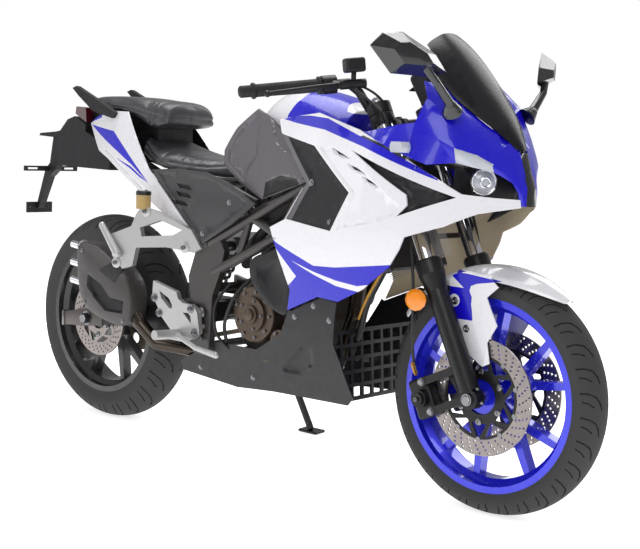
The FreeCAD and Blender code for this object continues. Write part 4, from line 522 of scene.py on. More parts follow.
def soften(part: BMesh, width: float, segments: int = 2, angle: float = 30) -> None:
    """Rounds a mesh's sharp edges.

    Args:
        part: The mesh.
        width: The rounding's width.
        segments: How many faces it has.
        angle: Edges that turn by more than this many degrees are rounded.
    """
    sharp = [e for e in part.edges if len(e.link_faces) == 2 and e.calc_face_angle() > math.radians(angle)]
    bmesh.ops.bevel(part, geom=sharp, offset=width, offset_type="OFFSET", affect="EDGES", segments=segments,
                    profile=0.5, material=-1, clamp_overlap=True)


def slab(bm: BMesh, corners: Outline, near: float, far: float, rounding: float = 0, index: int = 0) -> None:
    """Cuts a plate to an outline in side view.

    Args:
        bm: The mesh that grows.
        corners: The outline, as X and Z.
        near: Y of one face.
        far: Y of the other.
        rounding: How much its edges are rounded.
        index: The material index.
    """
    part = bmesh.new()
    face = part.faces.new([part.verts.new((x, near, z)) for x, z in corners])
    grown = bmesh.ops.extrude_face_region(part, geom=[face])["geom"]
    verts = [item for item in grown if isinstance(item, BMVert)]
    bmesh.ops.translate(part, verts=verts, vec=(0, far - near, 0))
    bmesh.ops.recalc_face_normals(part, faces=part.faces)
    if rounding:
        soften(part, rounding)
    join(bm, part, index)


def bar(bm: BMesh, start: Place, end: Place, radius: float, end_radius: float | None = None,
        segments: int = 20, index: int = 0) -> None:
    """Adds a round bar, straight or tapered.

    Args:
        bm: The mesh that grows.
        start: Its first end.
        end: Its other end.
        radius: Its radius.
        end_radius: The radius at the other end, if that differs.
        segments: How many sides it has.
        index: The material index.
    """
    part = bmesh.new()
    way = Vector(end) - Vector(start)
    bmesh.ops.create_cone(part, cap_ends=True, segments=segments, radius1=radius,
                          radius2=radius if end_radius is None else end_radius, depth=way.length)
    aim(part, (Vector(start) + Vector(end)) / 2, way)
    join(bm, part, index)


def mesh_of(curve: Curve, merge: float) -> BMesh:
    """Turns a curve into a mesh and removes the curve.

    Args:
        curve: The curve.
        merge: How near two corners are to become one.

    Returns:
        Its mesh, merged and facing outwards.
    """
    item = bpy.data.objects.new("route", curve)
    part = bmesh.new()
    part.from_mesh(bpy.data.meshes.new_from_object(item))
    bpy.data.objects.remove(item)
    bpy.data.curves.remove(curve)
    bmesh.ops.remove_doubles(part, verts=part.verts, dist=merge)
    bmesh.ops.recalc_face_normals(part, faces=part.faces)
    return part


def hose(bm: BMesh, route: Sequence[Place], radius: float, index: int = 0) -> None:
    """Sweeps a round hose or lead along a smooth route.

    Args:
        bm: The mesh that grows.
        route: Control points of the route.
        radius: The hose's radius.
        index: The material index.
    """
    curve = bpy.data.curves.new("route", "CURVE")
    curve.dimensions = "3D"
    curve.bevel_depth = radius
    curve.bevel_resolution = HOSE_ROUNDNESS
    curve.use_fill_caps = True
    spline = curve.splines.new("NURBS")
    spline.points.add(len(route) - 1)
    for knot, place in zip(spline.points, route):
        knot.co = (*place, 1)
    spline.order_u = 3
    spline.use_endpoint_u = True
    spline.resolution_u = HOSE_STEPS
    join(bm, mesh_of(curve, 0.01), index)


class Head(Enum):
    """Kinds of screw head."""

    HEX = "hex"
    SOCKET = "socket"
    BUTTON = "button"


def screw(bm: BMesh, place: Place, axis: Place, size: float, head: Head = Head.SOCKET,
          index: int = 0) -> None:
    """Sets a screw on a surface.

    Args:
        bm: The mesh that grows.
        place: Where its axis meets the surface.
        axis: Out of the surface.
        size: The thread's diameter.
        head: Its kind.
        index: The material index.
    """
    if head is Head.HEX:
        flange, skirt, corner, top = size * 1.05, size * 0.12, size * 0.92, size * 0.75
        lathe(bm, place, axis, [(0, -1), (flange, -1), (flange, skirt), (0, skirt)], 20, index)
        hexagon = [(0, 0), (corner, 0), (corner, size * 0.62), (size * 0.8, top), (0, top)]
        lathe(bm, place, axis, hexagon, 6, index)
        return
    tall = head is Head.SOCKET
    rim = size * (0.75 if tall else 0.95)
    height = size * (0.9 if tall else 0.5)
    shoulder = rim * (0.9 if tall else 0.62)
    pocket = size * 0.5
    part = bmesh.new()
    profile = [(0, -1), (rim, -1), (rim, height * 0.75), (shoulder, height), (pocket, height),
               (pocket, height * 0.35), (0, height * 0.35)]
    lathe(part, (0, 0, 0), (0, 0, 1), profile, 12)
    # Every other corner of the round pocket moves in to the middle of a hexagon's side
    for vert in part.verts:
        flat = Vector((vert.co.x, vert.co.y))
        between = round(math.degrees(math.atan2(flat.y, flat.x)) / 30) % 2 == 1
        if between and abs(flat.length - pocket) < 0.01:
            vert.co.x *= math.cos(math.pi / 6)
            vert.co.y *= math.cos(math.pi / 6)
    aim(part, place, axis)
    join(bm, part, index)


@dataclass
class Tyre:
    """A directional road tyre with its grooves cut into the rubber.

    Attributes:
        node: The CAD node that it stands for.
        axle: The wheel's centre, in upright millimetres.
        radius: The outer radius in millimetres.
        crown: The radius of the crown across the tyre.
        half: Half the width at the shoulder.
        bead: Radius and half width where the bead meets the rim.
        pitches: How often the tread repeats round the wheel.
        grooves: Groove widths with their lines on one half of one pitch, as (round share, across mm).
        depth: The grooves' depth.
        columns: Faces along one pitch of the tread.
        wall_rows: Rows of faces on each wall.
        crown_rows: Rows of faces across the crown.
        bulge: How far the wall swells.
        ridge: Height of the two moulded rings on the wall.
        ridges: Where each ring starts and ends, as shares of the wall.
    """

    node: str
    axle: tuple[float, float, float]
    radius: float
    crown: float
    half: float
    bead: tuple[float, float]
    pitches: int
    grooves: list[tuple[float, list[tuple[float, float]]]]
    depth: float = 4.2
    columns: int = 12
    wall_rows: int = 6
    crown_rows: int = 22
    bulge: float = 2.6
    ridge: float = 0.9
    ridges: tuple[tuple[float, float], ...] = ((0.30, 0.42), (0.78, 0.9))

    def length(self) -> float:
        """The length of one pitch."""
        return 2 * math.pi * self.radius / self.pitches

    def shoulder(self) -> float:
        """The angle of the crown's arc at the shoulder."""
        return math.asin(self.half / self.crown)

    def wall(self) -> tuple[Vector, Vector]:
        """The wall's two ends on the section, as radius and half width."""
        radius = self.radius - self.crown * (1 - math.cos(self.shoulder()))
        return Vector((radius, self.half)), Vector(self.bead)

    def section(self, across: float) -> tuple[float, float, float]:
        """A place on the tyre's section.

        Args:
            across: Millimetres over the surface from the middle line.

        Returns:
            The radius, the width and the surface's angle there.
        """
        side = math.copysign(1, across)
        turn = abs(across) / self.crown
        edge = self.shoulder()
        if turn <= edge:
            radius = self.radius - self.crown * (1 - math.cos(turn))
            return radius, side * self.crown * math.sin(turn), side * turn
        start, end = self.wall()
        share = min(1, (turn - edge) * self.crown / (end - start).length)
        bulge = self.bulge * math.sin(math.pi * share)
        ridge = self.ridge if any(low < share < high for low, high in self.ridges) else 0
        spot = start.lerp(end, share)
        return spot.x, side * (spot.y + bulge + ridge), side * math.pi / 2

    def cut_groove(self, bm: BMesh, line: list[Vector], width: float) -> list[list[Vector]]:
        """Cuts the flat tread along a groove's edges.

        Args:
            bm: The flat tread, x round the wheel and y across it, in millimetres.
            line: The groove's middle line.
            width: The groove's width.

        Returns:
            The four corners of each straight stretch.
        """
        stretches = []
        for start, end in zip(line, line[1:]):
            way = (end - start).normalized()
            out = Vector((-way.y, way.x, 0)) * width / 2
            corners = [start - out, end - out, end + out, start + out]
            for one, two in zip(corners, corners[1:] + corners[:1]):
                normal = Vector((two.y - one.y, one.x - two.x, 0)).normalized()
                near = [f for f in bm.faces
                        if (f.calc_center_median() - (start + end) / 2).length < (end - start).length / 2 + 7
                        and not any(e.is_boundary for e in f.edges)]
                cut(bm, near, one, normal, 0.05)
            stretches.append(corners)
        return stretches

    def sink(self, bm: BMesh, stretches: list[list[Vector]]) -> None:
        """Sinks every face that lies in a groove.

        Args:
            bm: The flat tread.
            stretches: The corners of each straight stretch of groove.
        """
        outlines = [[(corner.x, corner.y) for corner in corners] for corners in stretches]
        low = [f for f in bm.faces
               if any(inside(f.calc_center_median().x, f.calc_center_median().y, o) for o in outlines)]
        new = bmesh.ops.extrude_face_region(bm, geom=low)["geom"]
        bmesh.ops.delete(bm, geom=[f for f in low if f.is_valid], context="FACES")
        verts = [item for item in new if isinstance(item, BMVert)]
        bmesh.ops.translate(bm, verts=verts, vec=(0, 0, -self.depth))

    def flat_pitch(self) -> BMesh:
        """Lays one pitch of the tread out flat.

        Returns:
            A grid with X round the wheel and Y across it, in millimetres over the surface.
        """
        edge = self.shoulder() * self.crown
        start, end = self.wall()
        wall = (start - end).length
        rows = self.crown_rows + 2 * self.wall_rows
        bm = bmesh.new()
        bmesh.ops.create_grid(bm, x_segments=self.columns, y_segments=rows, size=0.5)
        for vert in bm.verts:
            row = round((vert.co.y + 0.5) * rows)
            if row < self.wall_rows:
                across = -edge - wall * (1 - row / self.wall_rows)
            elif row > rows - self.wall_rows:
                across = edge + wall * (1 - (rows - row) / self.wall_rows)
            else:
                across = edge * (2 * (row - self.wall_rows) / self.crown_rows - 1)
            vert.co = Vector(((vert.co.x + 0.5) * self.length(), across, 0))
        return bm

    def build(self) -> Object:
        """Sinks the grooves of one flat pitch, wraps it over the section and turns it round.

        Returns:
            The treaded tyre.
        """
        bm = self.flat_pitch()
        stretches = []
        for width, line in self.grooves:
            for side in Side:
                points = [Vector((share * self.length(), side.value * across, 0)) for share, across in line]
                stretches += self.cut_groove(bm, points, width)
        self.sink(bm, stretches)
        for vert in bm.verts:
            radius, width, turn = self.section(vert.co.y)
            radius += vert.co.z * math.cos(turn)
            width += vert.co.z * math.sin(turn)
            angle = -vert.co.x / self.radius
            vert.co = Vector((radius * math.cos(angle), width, radius * math.sin(angle)))
        bmesh.ops.spin(bm, geom=bm.verts[:] + bm.edges[:] + bm.faces[:], cent=(0, 0, 0), axis=(0, 1, 0),
                       angle=2 * math.pi * (self.pitches - 1) / self.pitches, steps=self.pitches - 1,
                       use_duplicate=True)
        bmesh.ops.remove_doubles(bm, verts=bm.verts, dist=0.08)
        bmesh.ops.bridge_loops(bm, edges=[e for e in bm.edges if e.is_boundary])
        bmesh.ops.recalc_face_normals(bm, faces=bm.faces)
        bmesh.ops.translate(bm, verts=bm.verts, vec=self.axle)
        piece = finish_piece(bm, self.node + "_treaded", body_of_node(self.node), [TYRE_RUBBER],
                             40)
        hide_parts(self.node)
        return piece


def circle(x: float, y: float, radius: float, sides: int) -> list[tuple[float, float]]:
    """The corners of a circle about a middle, from the side of growing X."""
    return [(x + radius * math.cos(2 * math.pi * n / sides), y + radius * math.sin(2 * math.pi * n / sides))
            for n in range(sides)]


def sheet_part(outlines: Iterable[Outline], thickness: float) -> BMesh:
    """A flat plate cut to an outline, with the other outlines as holes in it.

    Args:
        outlines: The plate's outline and those of its holes.
        thickness: The plate's thickness.

    Returns:
        The plate, lying in its X and Y about Z = 0.
    """
    curve = bpy.data.curves.new("plate", "CURVE")
    curve.dimensions = "2D"
    curve.fill_mode = "BOTH"
    curve.extrude = thickness / 2
    for outline in outlines:
        spline = curve.splines.new("POLY")
        spline.use_cyclic_u = True
        spline.points.add(len(outline) - 1)
        for knot, (x, y) in zip(spline.points, outline):
            knot.co = (x, y, 0, 1)
    return mesh_of(curve, 0.005)


@dataclass(frozen=True)
class Rotor:
    """A drilled brake disc, floating on a carrier or whole.

    Attributes:
        centre: The disc's middle, in upright millimetres.
        outer: Its outer radius.
        inner: The braked ring's inner radius.
        rows: Radii of the rows of holes.
        holes: Holes in each row.
        hub: Radius of the carrier's bore.
        bolts: Radius of the carrier's bolt circle.
        outward: The side it faces.
        thickness: Its thickness.
        webs: Windows in the carrier.
        bobbins: Pins that hold the ring to the carrier.
        hole: Radius of a drilled hole.
        carrier_extra: How much thicker the carrier is than the ring.
    """

    centre: tuple[float, float, float]
    outer: float
    inner: float
    rows: tuple[float, ...]
    holes: int
    hub: float
    bolts: float
    outward: Side
    thickness: float = 4.4
    webs: int = 12
    bobbins: int = 10
    hole: float = 2.9
    carrier_extra: float = 1.2

    def polar(self, radius: float, degrees: float) -> tuple[float, float]:
        """A point in the disc's plane."""
        return radius * math.cos(math.radians(degrees)), radius * math.sin(math.radians(degrees))

    def ring(self) -> BMesh:
        """Cuts the braked ring with its drilled rows, each row set on from the last.

        Returns:
            The ring, flat about the origin.
        """
        outlines = [circle(0, 0, self.outer, 96), circle(0, 0, self.inner, 80)]
        # A drilled hole has only eight sides, because the three discs have over three hundred of them
        for row, radius in enumerate(self.rows):
            for hole in range(self.holes):
                x, y = self.polar(radius, 360 / self.holes * (hole + row / len(self.rows)))
                outlines.append(circle(x, y, self.hole, 8))
        return sheet_part(outlines, self.thickness)

    def carrier(self) -> BMesh:
        """Cuts the carrier, whose windows stand alternately on their wide and narrow ends.

        Returns:
            The carrier, flat about the origin.
        """
        outlines = [circle(0, 0, self.inner - 0.8, 80), circle(0, 0, self.hub, 48)]
        high, low, step = self.inner - 6, self.bolts + 7, 360 / self.webs
        for web in range(self.webs):
            middle = web * step
            top, foot = step * 0.62, step * 0.08
            if web % 2:
                top, foot = foot, top
            outlines.append([self.polar(high, middle - top), self.polar(high, middle),
                             self.polar(high, middle + top), self.polar(low, middle + foot),
                             self.polar(low, middle - foot)])
        return sheet_part(outlines, self.thickness + self.carrier_extra)

    def build(self, bm: BMesh) -> None:
        """Adds the disc to a mesh with ring, carrier and bolt finishes at 0, 1 and 2.

        Args:
            bm: The mesh that grows.
        """
        axis = self.outward.out
        for part, index in ((self.ring(), 0), (self.carrier(), 1)):
            aim(part, self.centre, axis)
            join(bm, part, index)
        face = Vector(self.centre) + axis * self.thickness / 2
        turn = facing(axis)
        pin = [(0, -1), (5.6, -1), (5.6, 1.3), (2.4, 1.3), (2.4, 0.7), (0, 0.7)]
        for bobbin in range(self.bobbins):
            spot = turn @ Vector((*self.polar(self.inner - 0.4, 360 / self.bobbins * (bobbin + 0.5)), 0))
            lathe(bm, face + spot, axis, pin, 14, 2)
        for bolt in range(6):
            spot = turn @ Vector((*self.polar(self.bolts, 60 * bolt + 30), 0))
            screw(bm, face + spot, axis, 8, Head.BUTTON, 2)


@dataclass(frozen=True)
class Wheels:
    """The treaded tyres and the drilled discs on both axles.

    Attributes:
        front_disc: How far each front disc stands from the middle plane.
        rear_disc: How far the rear disc stands to the right of it.
    """

    front_disc: float = 63
    rear_disc: float = 68

    def discs(self) -> None:
        """Makes the three brake discs."""
        x, _, z = FRONT_AXLE
        bm = bmesh.new()
        for side in Side:
            Rotor((x, side.value * self.front_disc, z), 137.5, 99, (105.5, 114, 122.5, 131), 34, 41, 58,
                  side).build(bm)
        piece = finish_piece(bm, "front_rotors", "front_wheel", [GROUND_STEEL, POWDER_COAT, ZINC_STEEL],
                             30)
        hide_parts("front_discs")
        x, _, z = REAR_AXLE
        bm = bmesh.new()
        Rotor((x, -self.rear_disc, z), 116, 84, (90, 98, 106), 30, 36, 52, Side.RIGHT, webs=10,
              bobbins=0).build(bm)
        piece = finish_piece(bm, "rear_rotor", "rear_wheel", [GROUND_STEEL, GROUND_STEEL, ZINC_STEEL],
                             30)
        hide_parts("rear_disc")

    def build(self) -> None:
        """Makes the tyres and the discs."""
        self.discs()
        Tyre("front_tyre", FRONT_AXLE, FRONT_AXLE[2], 57.1, 52, (216.2, 39.7), 30,
             [(4.2, [(0.14, 63), (0.2, 44), (0.36, 27), (0.62, 17), (0.86, 13)]),
              (3.0, [(0.50, 60), (0.58, 46), (0.74, 33)])]).build()
        Tyre("rear_tyre", REAR_AXLE, REAR_AXLE[2], 74.8, 68, (216.2, 51.7), 26,
             [(5.0, [(0.12, 82), (0.2, 58), (0.38, 36), (0.66, 20), (0.9, 14)]),
              (4.0, [(0.46, 80), (0.55, 60), (0.74, 42)])]).build()


def inset(corners: Outline, distance: float) -> list[tuple[float, float]]:
    """Moves an outline's edges inwards.

    Args:
        corners: The outline.
        distance: How far each edge moves.

    Returns:
        The smaller outline, with as many corners. A sharp one moves up to about three times as far.
    """
    count = len(corners)
    area = sum(x1 * z2 - x2 * z1 for (x1, z1), (x2, z2) in sides_of(corners))
    turn = math.copysign(1, area)
    result = []
    for index, corner in enumerate(corners):
        here = Vector(corner)
        before = (here - Vector(corners[index - 1])).normalized()
        after = (Vector(corners[(index + 1) % count]) - here).normalized()
        normals = [Vector((-way.y, way.x)) * turn for way in (before, after)]
        middle = (normals[0] + normals[1]).normalized()
        moved = here + middle * distance / max(0.35, middle.dot(normals[0]))
        result.append((moved.x, moved.y))
    return result


@dataclass(frozen=True)
class Patch:
    """An area of another finish on a panel, outlined in side view.

    Attributes:
        finish: Its finish.
        corners: Its outline, in upright millimetres.
        half: Half the width across the bike that it is held to.
    """

    finish: Finish
    corners: Outline
    half: float = math.inf


@dataclass(frozen=True)
class Press:
    """A field pressed into a panel, with sloping sides.

    Attributes:
        corners: Its outline, in upright millimetres.
        depth: How far its floor lies below the panel, or above it if negative.
        slope: The width of its sides.
        beyond: Only what lies further than this from the middle plane moves.
    """

    corners: Outline
    depth: float
    slope: float = 7
    beyond: float = 0


def cut_along(bm: BMesh, corners: Outline) -> None:
    """Cuts a mesh along an outline's edges, so that each face lies on one side.

    Args:
        bm: The mesh.
        corners: The outline.
    """
    low_x, high_x = min(x for x, _ in corners) - 1, max(x for x, _ in corners) + 1
    low_z, high_z = min(z for _, z in corners) - 1, max(z for _, z in corners) + 1
    for (x1, z1), (x2, z2) in sides_of(corners):
        near = []
        for face in bm.faces:
            xs = [vert.co.x for vert in face.verts]
            zs = [vert.co.z for vert in face.verts]
            if min(xs) <= high_x and max(xs) >= low_x and min(zs) <= high_z and max(zs) >= low_z:
                near.append(face)
        cut(bm, near, (x1, 0, z1), Vector((z2 - z1, 0, x1 - x2)).normalized(), 0.01)


def press(bm: BMesh, one: Press) -> None:
    """Sinks a field into a mesh.

    Args:
        bm: The mesh.
        one: The field.
    """
    floor = inset(one.corners, one.slope)
    cut_along(bm, one.corners)
    cut_along(bm, floor)
    grown = inset(floor, -0.05)
    for vert in bm.verts:
        if abs(vert.co.y) > one.beyond and inside(vert.co.x, vert.co.z, grown):
            vert.co.y -= math.copysign(one.depth, vert.co.y)


@dataclass
class PaintedPanel:
    """A moulded panel in more than one colour.

    Attributes:
        node: The CAD node that it stands for.
        base: The finish of what no patch covers.
        slot: The record's material slot; not used.
        patches: The areas of other colours, laid in order.
        presses: The fields pressed into it.
        back: The finish of its inner face, if that differs.
        screws: Where its screws sit on both sides, as X and Z.
        screw_size: The thread's diameter.
        reach: How far from the middle plane a screw is looked for.
    """

    node: str
    base: Finish
    slot: str
    patches: list[Patch] = field(default_factory=list)
    presses: list[Press] = field(default_factory=list)
    back: Finish | None = None
    screws: list[tuple[float, float]] = field(default_factory=list)
    screw_size: float = 6
    reach: float = 400

    def fix(self, bm: BMesh, index: int) -> None:
        """Sets the screws and their washers on the mesh's outer faces.

        Args:
            bm: The panel's mesh.
            index: The material index of the screws.
        """
        tree = BVHTree.FromBMesh(bm)
        heads = bmesh.new()
        rim, top = self.screw_size * 1.3, self.screw_size * 1.15
        for x, z in self.screws:
            for side in Side:
                spot, normal, _face, _far = tree.ray_cast(Vector((x, side.value * self.reach, z)),
                                                          Vector((0, -side.value, 0)), self.reach)
                if spot is not None and normal.y * side.value > 0.2:
                    lathe(heads, spot, normal, [(0, 0.1), (rim, 0.1), (top, 0.9), (0, 0.9)], 20)
                    screw(heads, spot + normal * 0.8, normal, self.screw_size, Head.BUTTON)
        join(bm, heads, index)

    def build(self) -> Object:
        """Presses the fields, cuts the colour lines and gives each face its finish.

        Returns:
            The finished panel.
        """
        bm = copy_node(self.node)
        for one in self.presses:
            press(bm, one)
        finishes = [self.base]
        for patch in self.patches:
            cut_along(bm, patch.corners)
            if patch.finish not in finishes:
                finishes.append(patch.finish)
        if self.back:
            finishes.append(self.back)
        bm.normal_update()
        for face in bm.faces:
            centre = face.calc_center_median()
            face.material_index = 0
            if self.back and face.normal.y * math.copysign(1, centre.y) < -0.2:
                face.material_index = len(finishes) - 1
                continue
            for patch in self.patches:
                if abs(centre.y) < patch.half and inside(centre.x, centre.z, patch.corners):
                    face.material_index = finishes.index(patch.finish)
        if self.screws:
            finishes.append(ZINC_STEEL)
            self.fix(bm, len(finishes) - 1)
        piece = finish_piece(bm, self.node + "_painted", body_of_node(self.node), finishes)
        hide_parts(self.node)
        return piece


@dataclass(frozen=True)
class Seam:
    """A sewn channel in a seat, drawn in side view and pulled into the skin on both sides.

    Attributes:
        line: X and Z pairs of the channel in side view.
        depth: How deep the thread pulls the cover.
        width: How wide the dip is.
        stitched: Whether a row of stitches shows beside it.
    """

    line: Outline
    depth: float = 3
    width: float = 6
    stitched: bool = True


@dataclass
class Seat:
    """A foam seat under a stretched vinyl cover.

    Attributes:
        node: The CAD node that it stands for.
        fill: How tight the cover is, from 0 to 1; not used.
        pressure: The pressure that swells it in the simulation.
        seams: Its sewn channels.
        voxel: Size of the cover's mesh before it is subdivided.
        shrink: How far the form is drawn in before it swells.
        swell: The most that a point may move in the simulation.
        frames: How many frames the simulation runs.
        pitch: Millimetres from one stitch to the next.
        stitch_length: How much of the thread shows.
        thread: The thread's radius.
        reach: How far from the middle plane the skin is looked for.
    """

    node: str
    fill: float
    pressure: float
    seams: list[Seam]
    voxel: float = 7
    shrink: float = 4
    swell: float = 6
    frames: int = 16
    pitch: float = 5.5
    stitch_length: float = 3.6
    thread: float = 0.7
    reach: float = 300

    @staticmethod
    def applied(item: Object) -> Mesh:
        """Applies an object's modifiers.

        Args:
            item: The object. Its modifiers are removed.

        Returns:
            Its new mesh.
        """
        mesh = bpy.data.meshes.new_from_object(item.evaluated_get(bpy.context.evaluated_depsgraph_get()))
        item.modifiers.clear()
        item.data = mesh
        return mesh

    def swollen(self) -> BMesh:
        """Blows the cover out from a slightly smaller shape.

        Returns:
            The seat's form, in upright millimetres.
        """
        bm = copy_node(self.node)
        bmesh.ops.recalc_face_normals(bm, faces=bm.faces)
        bm.normal_update()
        bmesh.ops.transform(bm, matrix=Matrix.Scale(MM, 4), verts=bm.verts)
        mesh = bpy.data.meshes.new("foam")
        bm.to_mesh(mesh)
        bm.free()
        item = bpy.data.objects.new("foam", mesh)
        bpy.context.scene.collection.objects.link(item)
        remesh = item.modifiers.new("grid", "REMESH")
        remesh.mode = "VOXEL"
        remesh.voxel_size = self.voxel * MM
        smooth = item.modifiers.new("ease", "SMOOTH")
        smooth.factor = 0.5
        smooth.iterations = 6
        shrink = item.modifiers.new("shrink", "DISPLACE")
        shrink.strength = -self.shrink * MM
        shrink.mid_level = 0
        rest = [vert.co.copy() for vert in self.applied(item).vertices]
        cloth = item.modifiers.new("cover", "CLOTH")
        cloth.settings.use_pressure = True
        cloth.settings.uniform_pressure_force = self.pressure
        cloth.settings.effector_weights.gravity = 0
        cloth.settings.quality = 4
        cloth.point_cache.frame_start = 1
        cloth.point_cache.frame_end = self.frames
        for number in range(1, self.frames + 1):
            bpy.context.scene.frame_set(number)
        blown = self.applied(item)
        for vert, start in zip(blown.vertices, rest):
            move = vert.co - start
            if move.length > self.swell * MM:
                vert.co = start + move.normalized() * self.swell * MM
        bpy.context.scene.frame_set(1)
        bm = bmesh.new()
        bm.from_mesh(item.data)
        bpy.data.objects.remove(item)
        bmesh.ops.transform(bm, matrix=Matrix.Scale(1 / MM, 4), verts=bm.verts)
        return bm

    def sew(self, bm: BMesh, seam: Seam) -> None:
        """Pulls the cover in along one channel.

        Args:
            bm: The seat's mesh.
            seam: The channel.
        """
        bm.normal_update()
        moves = {}
        for vert in bm.verts:
            here = Vector((vert.co.x, vert.co.z))
            gap = min(self.distance(here, Vector(one), Vector(two))
                      for one, two in zip(seam.line, seam.line[1:]))
            if gap < seam.width * 2.5:
                moves[vert] = vert.normal * seam.depth * math.exp(-(gap / seam.width * 1.6) ** 2)
        for vert, move in moves.items():
            vert.co -= move

    @staticmethod
    def distance(here: Vector, one: Vector, two: Vector) -> float:
        """Measures how far a place lies from a straight stretch.

        Args:
            here: The place.
            one: The stretch's first end.
            two: Its other end.

        Returns:
            The distance.
        """
        run = two - one
        share = max(0, min(1, (here - one).dot(run) / run.length_squared))
        return (here - one - run * share).length

    def stitch(self, bm: BMesh, seam: Seam, index: int) -> None:
        """Lays a row of stitches just above a channel on both sides.

        Args:
            bm: The seat's mesh.
            seam: The channel.
            index: The material index of the thread.
        """
        tree = BVHTree.FromBMesh(bm)
        row = bmesh.new()
        for one, two in zip(seam.line, seam.line[1:]):
            run = Vector(two) - Vector(one)
            count = max(1, round(run.length / self.pitch))
            for number in range(count):
                x, z = Vector(one) + run * (number + 0.5) / count
                for side in Side:
                    start = Vector((x, side.value * self.reach, z + seam.width))
                    spot, normal, _face, _far = tree.ray_cast(start, Vector((0, -side.value, 0)), self.reach)
                    if spot is None or normal.y * side.value < 0.15:
                        continue
                    part = bmesh.new()
                    bmesh.ops.create_cone(part, cap_ends=True, segments=6, radius1=self.thread,
                                          radius2=self.thread, depth=self.stitch_length)
                    aim(part, spot + normal * 0.2, (run.x, 0, run.y))
                    join(row, part)
        join(bm, row, index)

    def build(self) -> Object:
        """Blows the cover out, sews its channels and lays the stitches.

        Returns:
            The finished seat.
        """
        bm = self.swollen()
        bmesh.ops.subdivide_edges(bm, edges=bm.edges, cuts=1, use_grid_fill=True, smooth=0.6)
        for seam in self.seams:
            self.sew(bm, seam)
        bmesh.ops.smooth_vert(bm, verts=bm.verts, factor=0.3, use_axis_x=True, use_axis_y=True,
                              use_axis_z=True)
        for seam in self.seams:
            if seam.stitched:
                self.stitch(bm, seam, 1)
        piece = finish_piece(bm, self.node + "_upholstered", body_of_node(self.node), [SEAT_VINYL, THREAD],
                             60)
        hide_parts(self.node)
        return piece


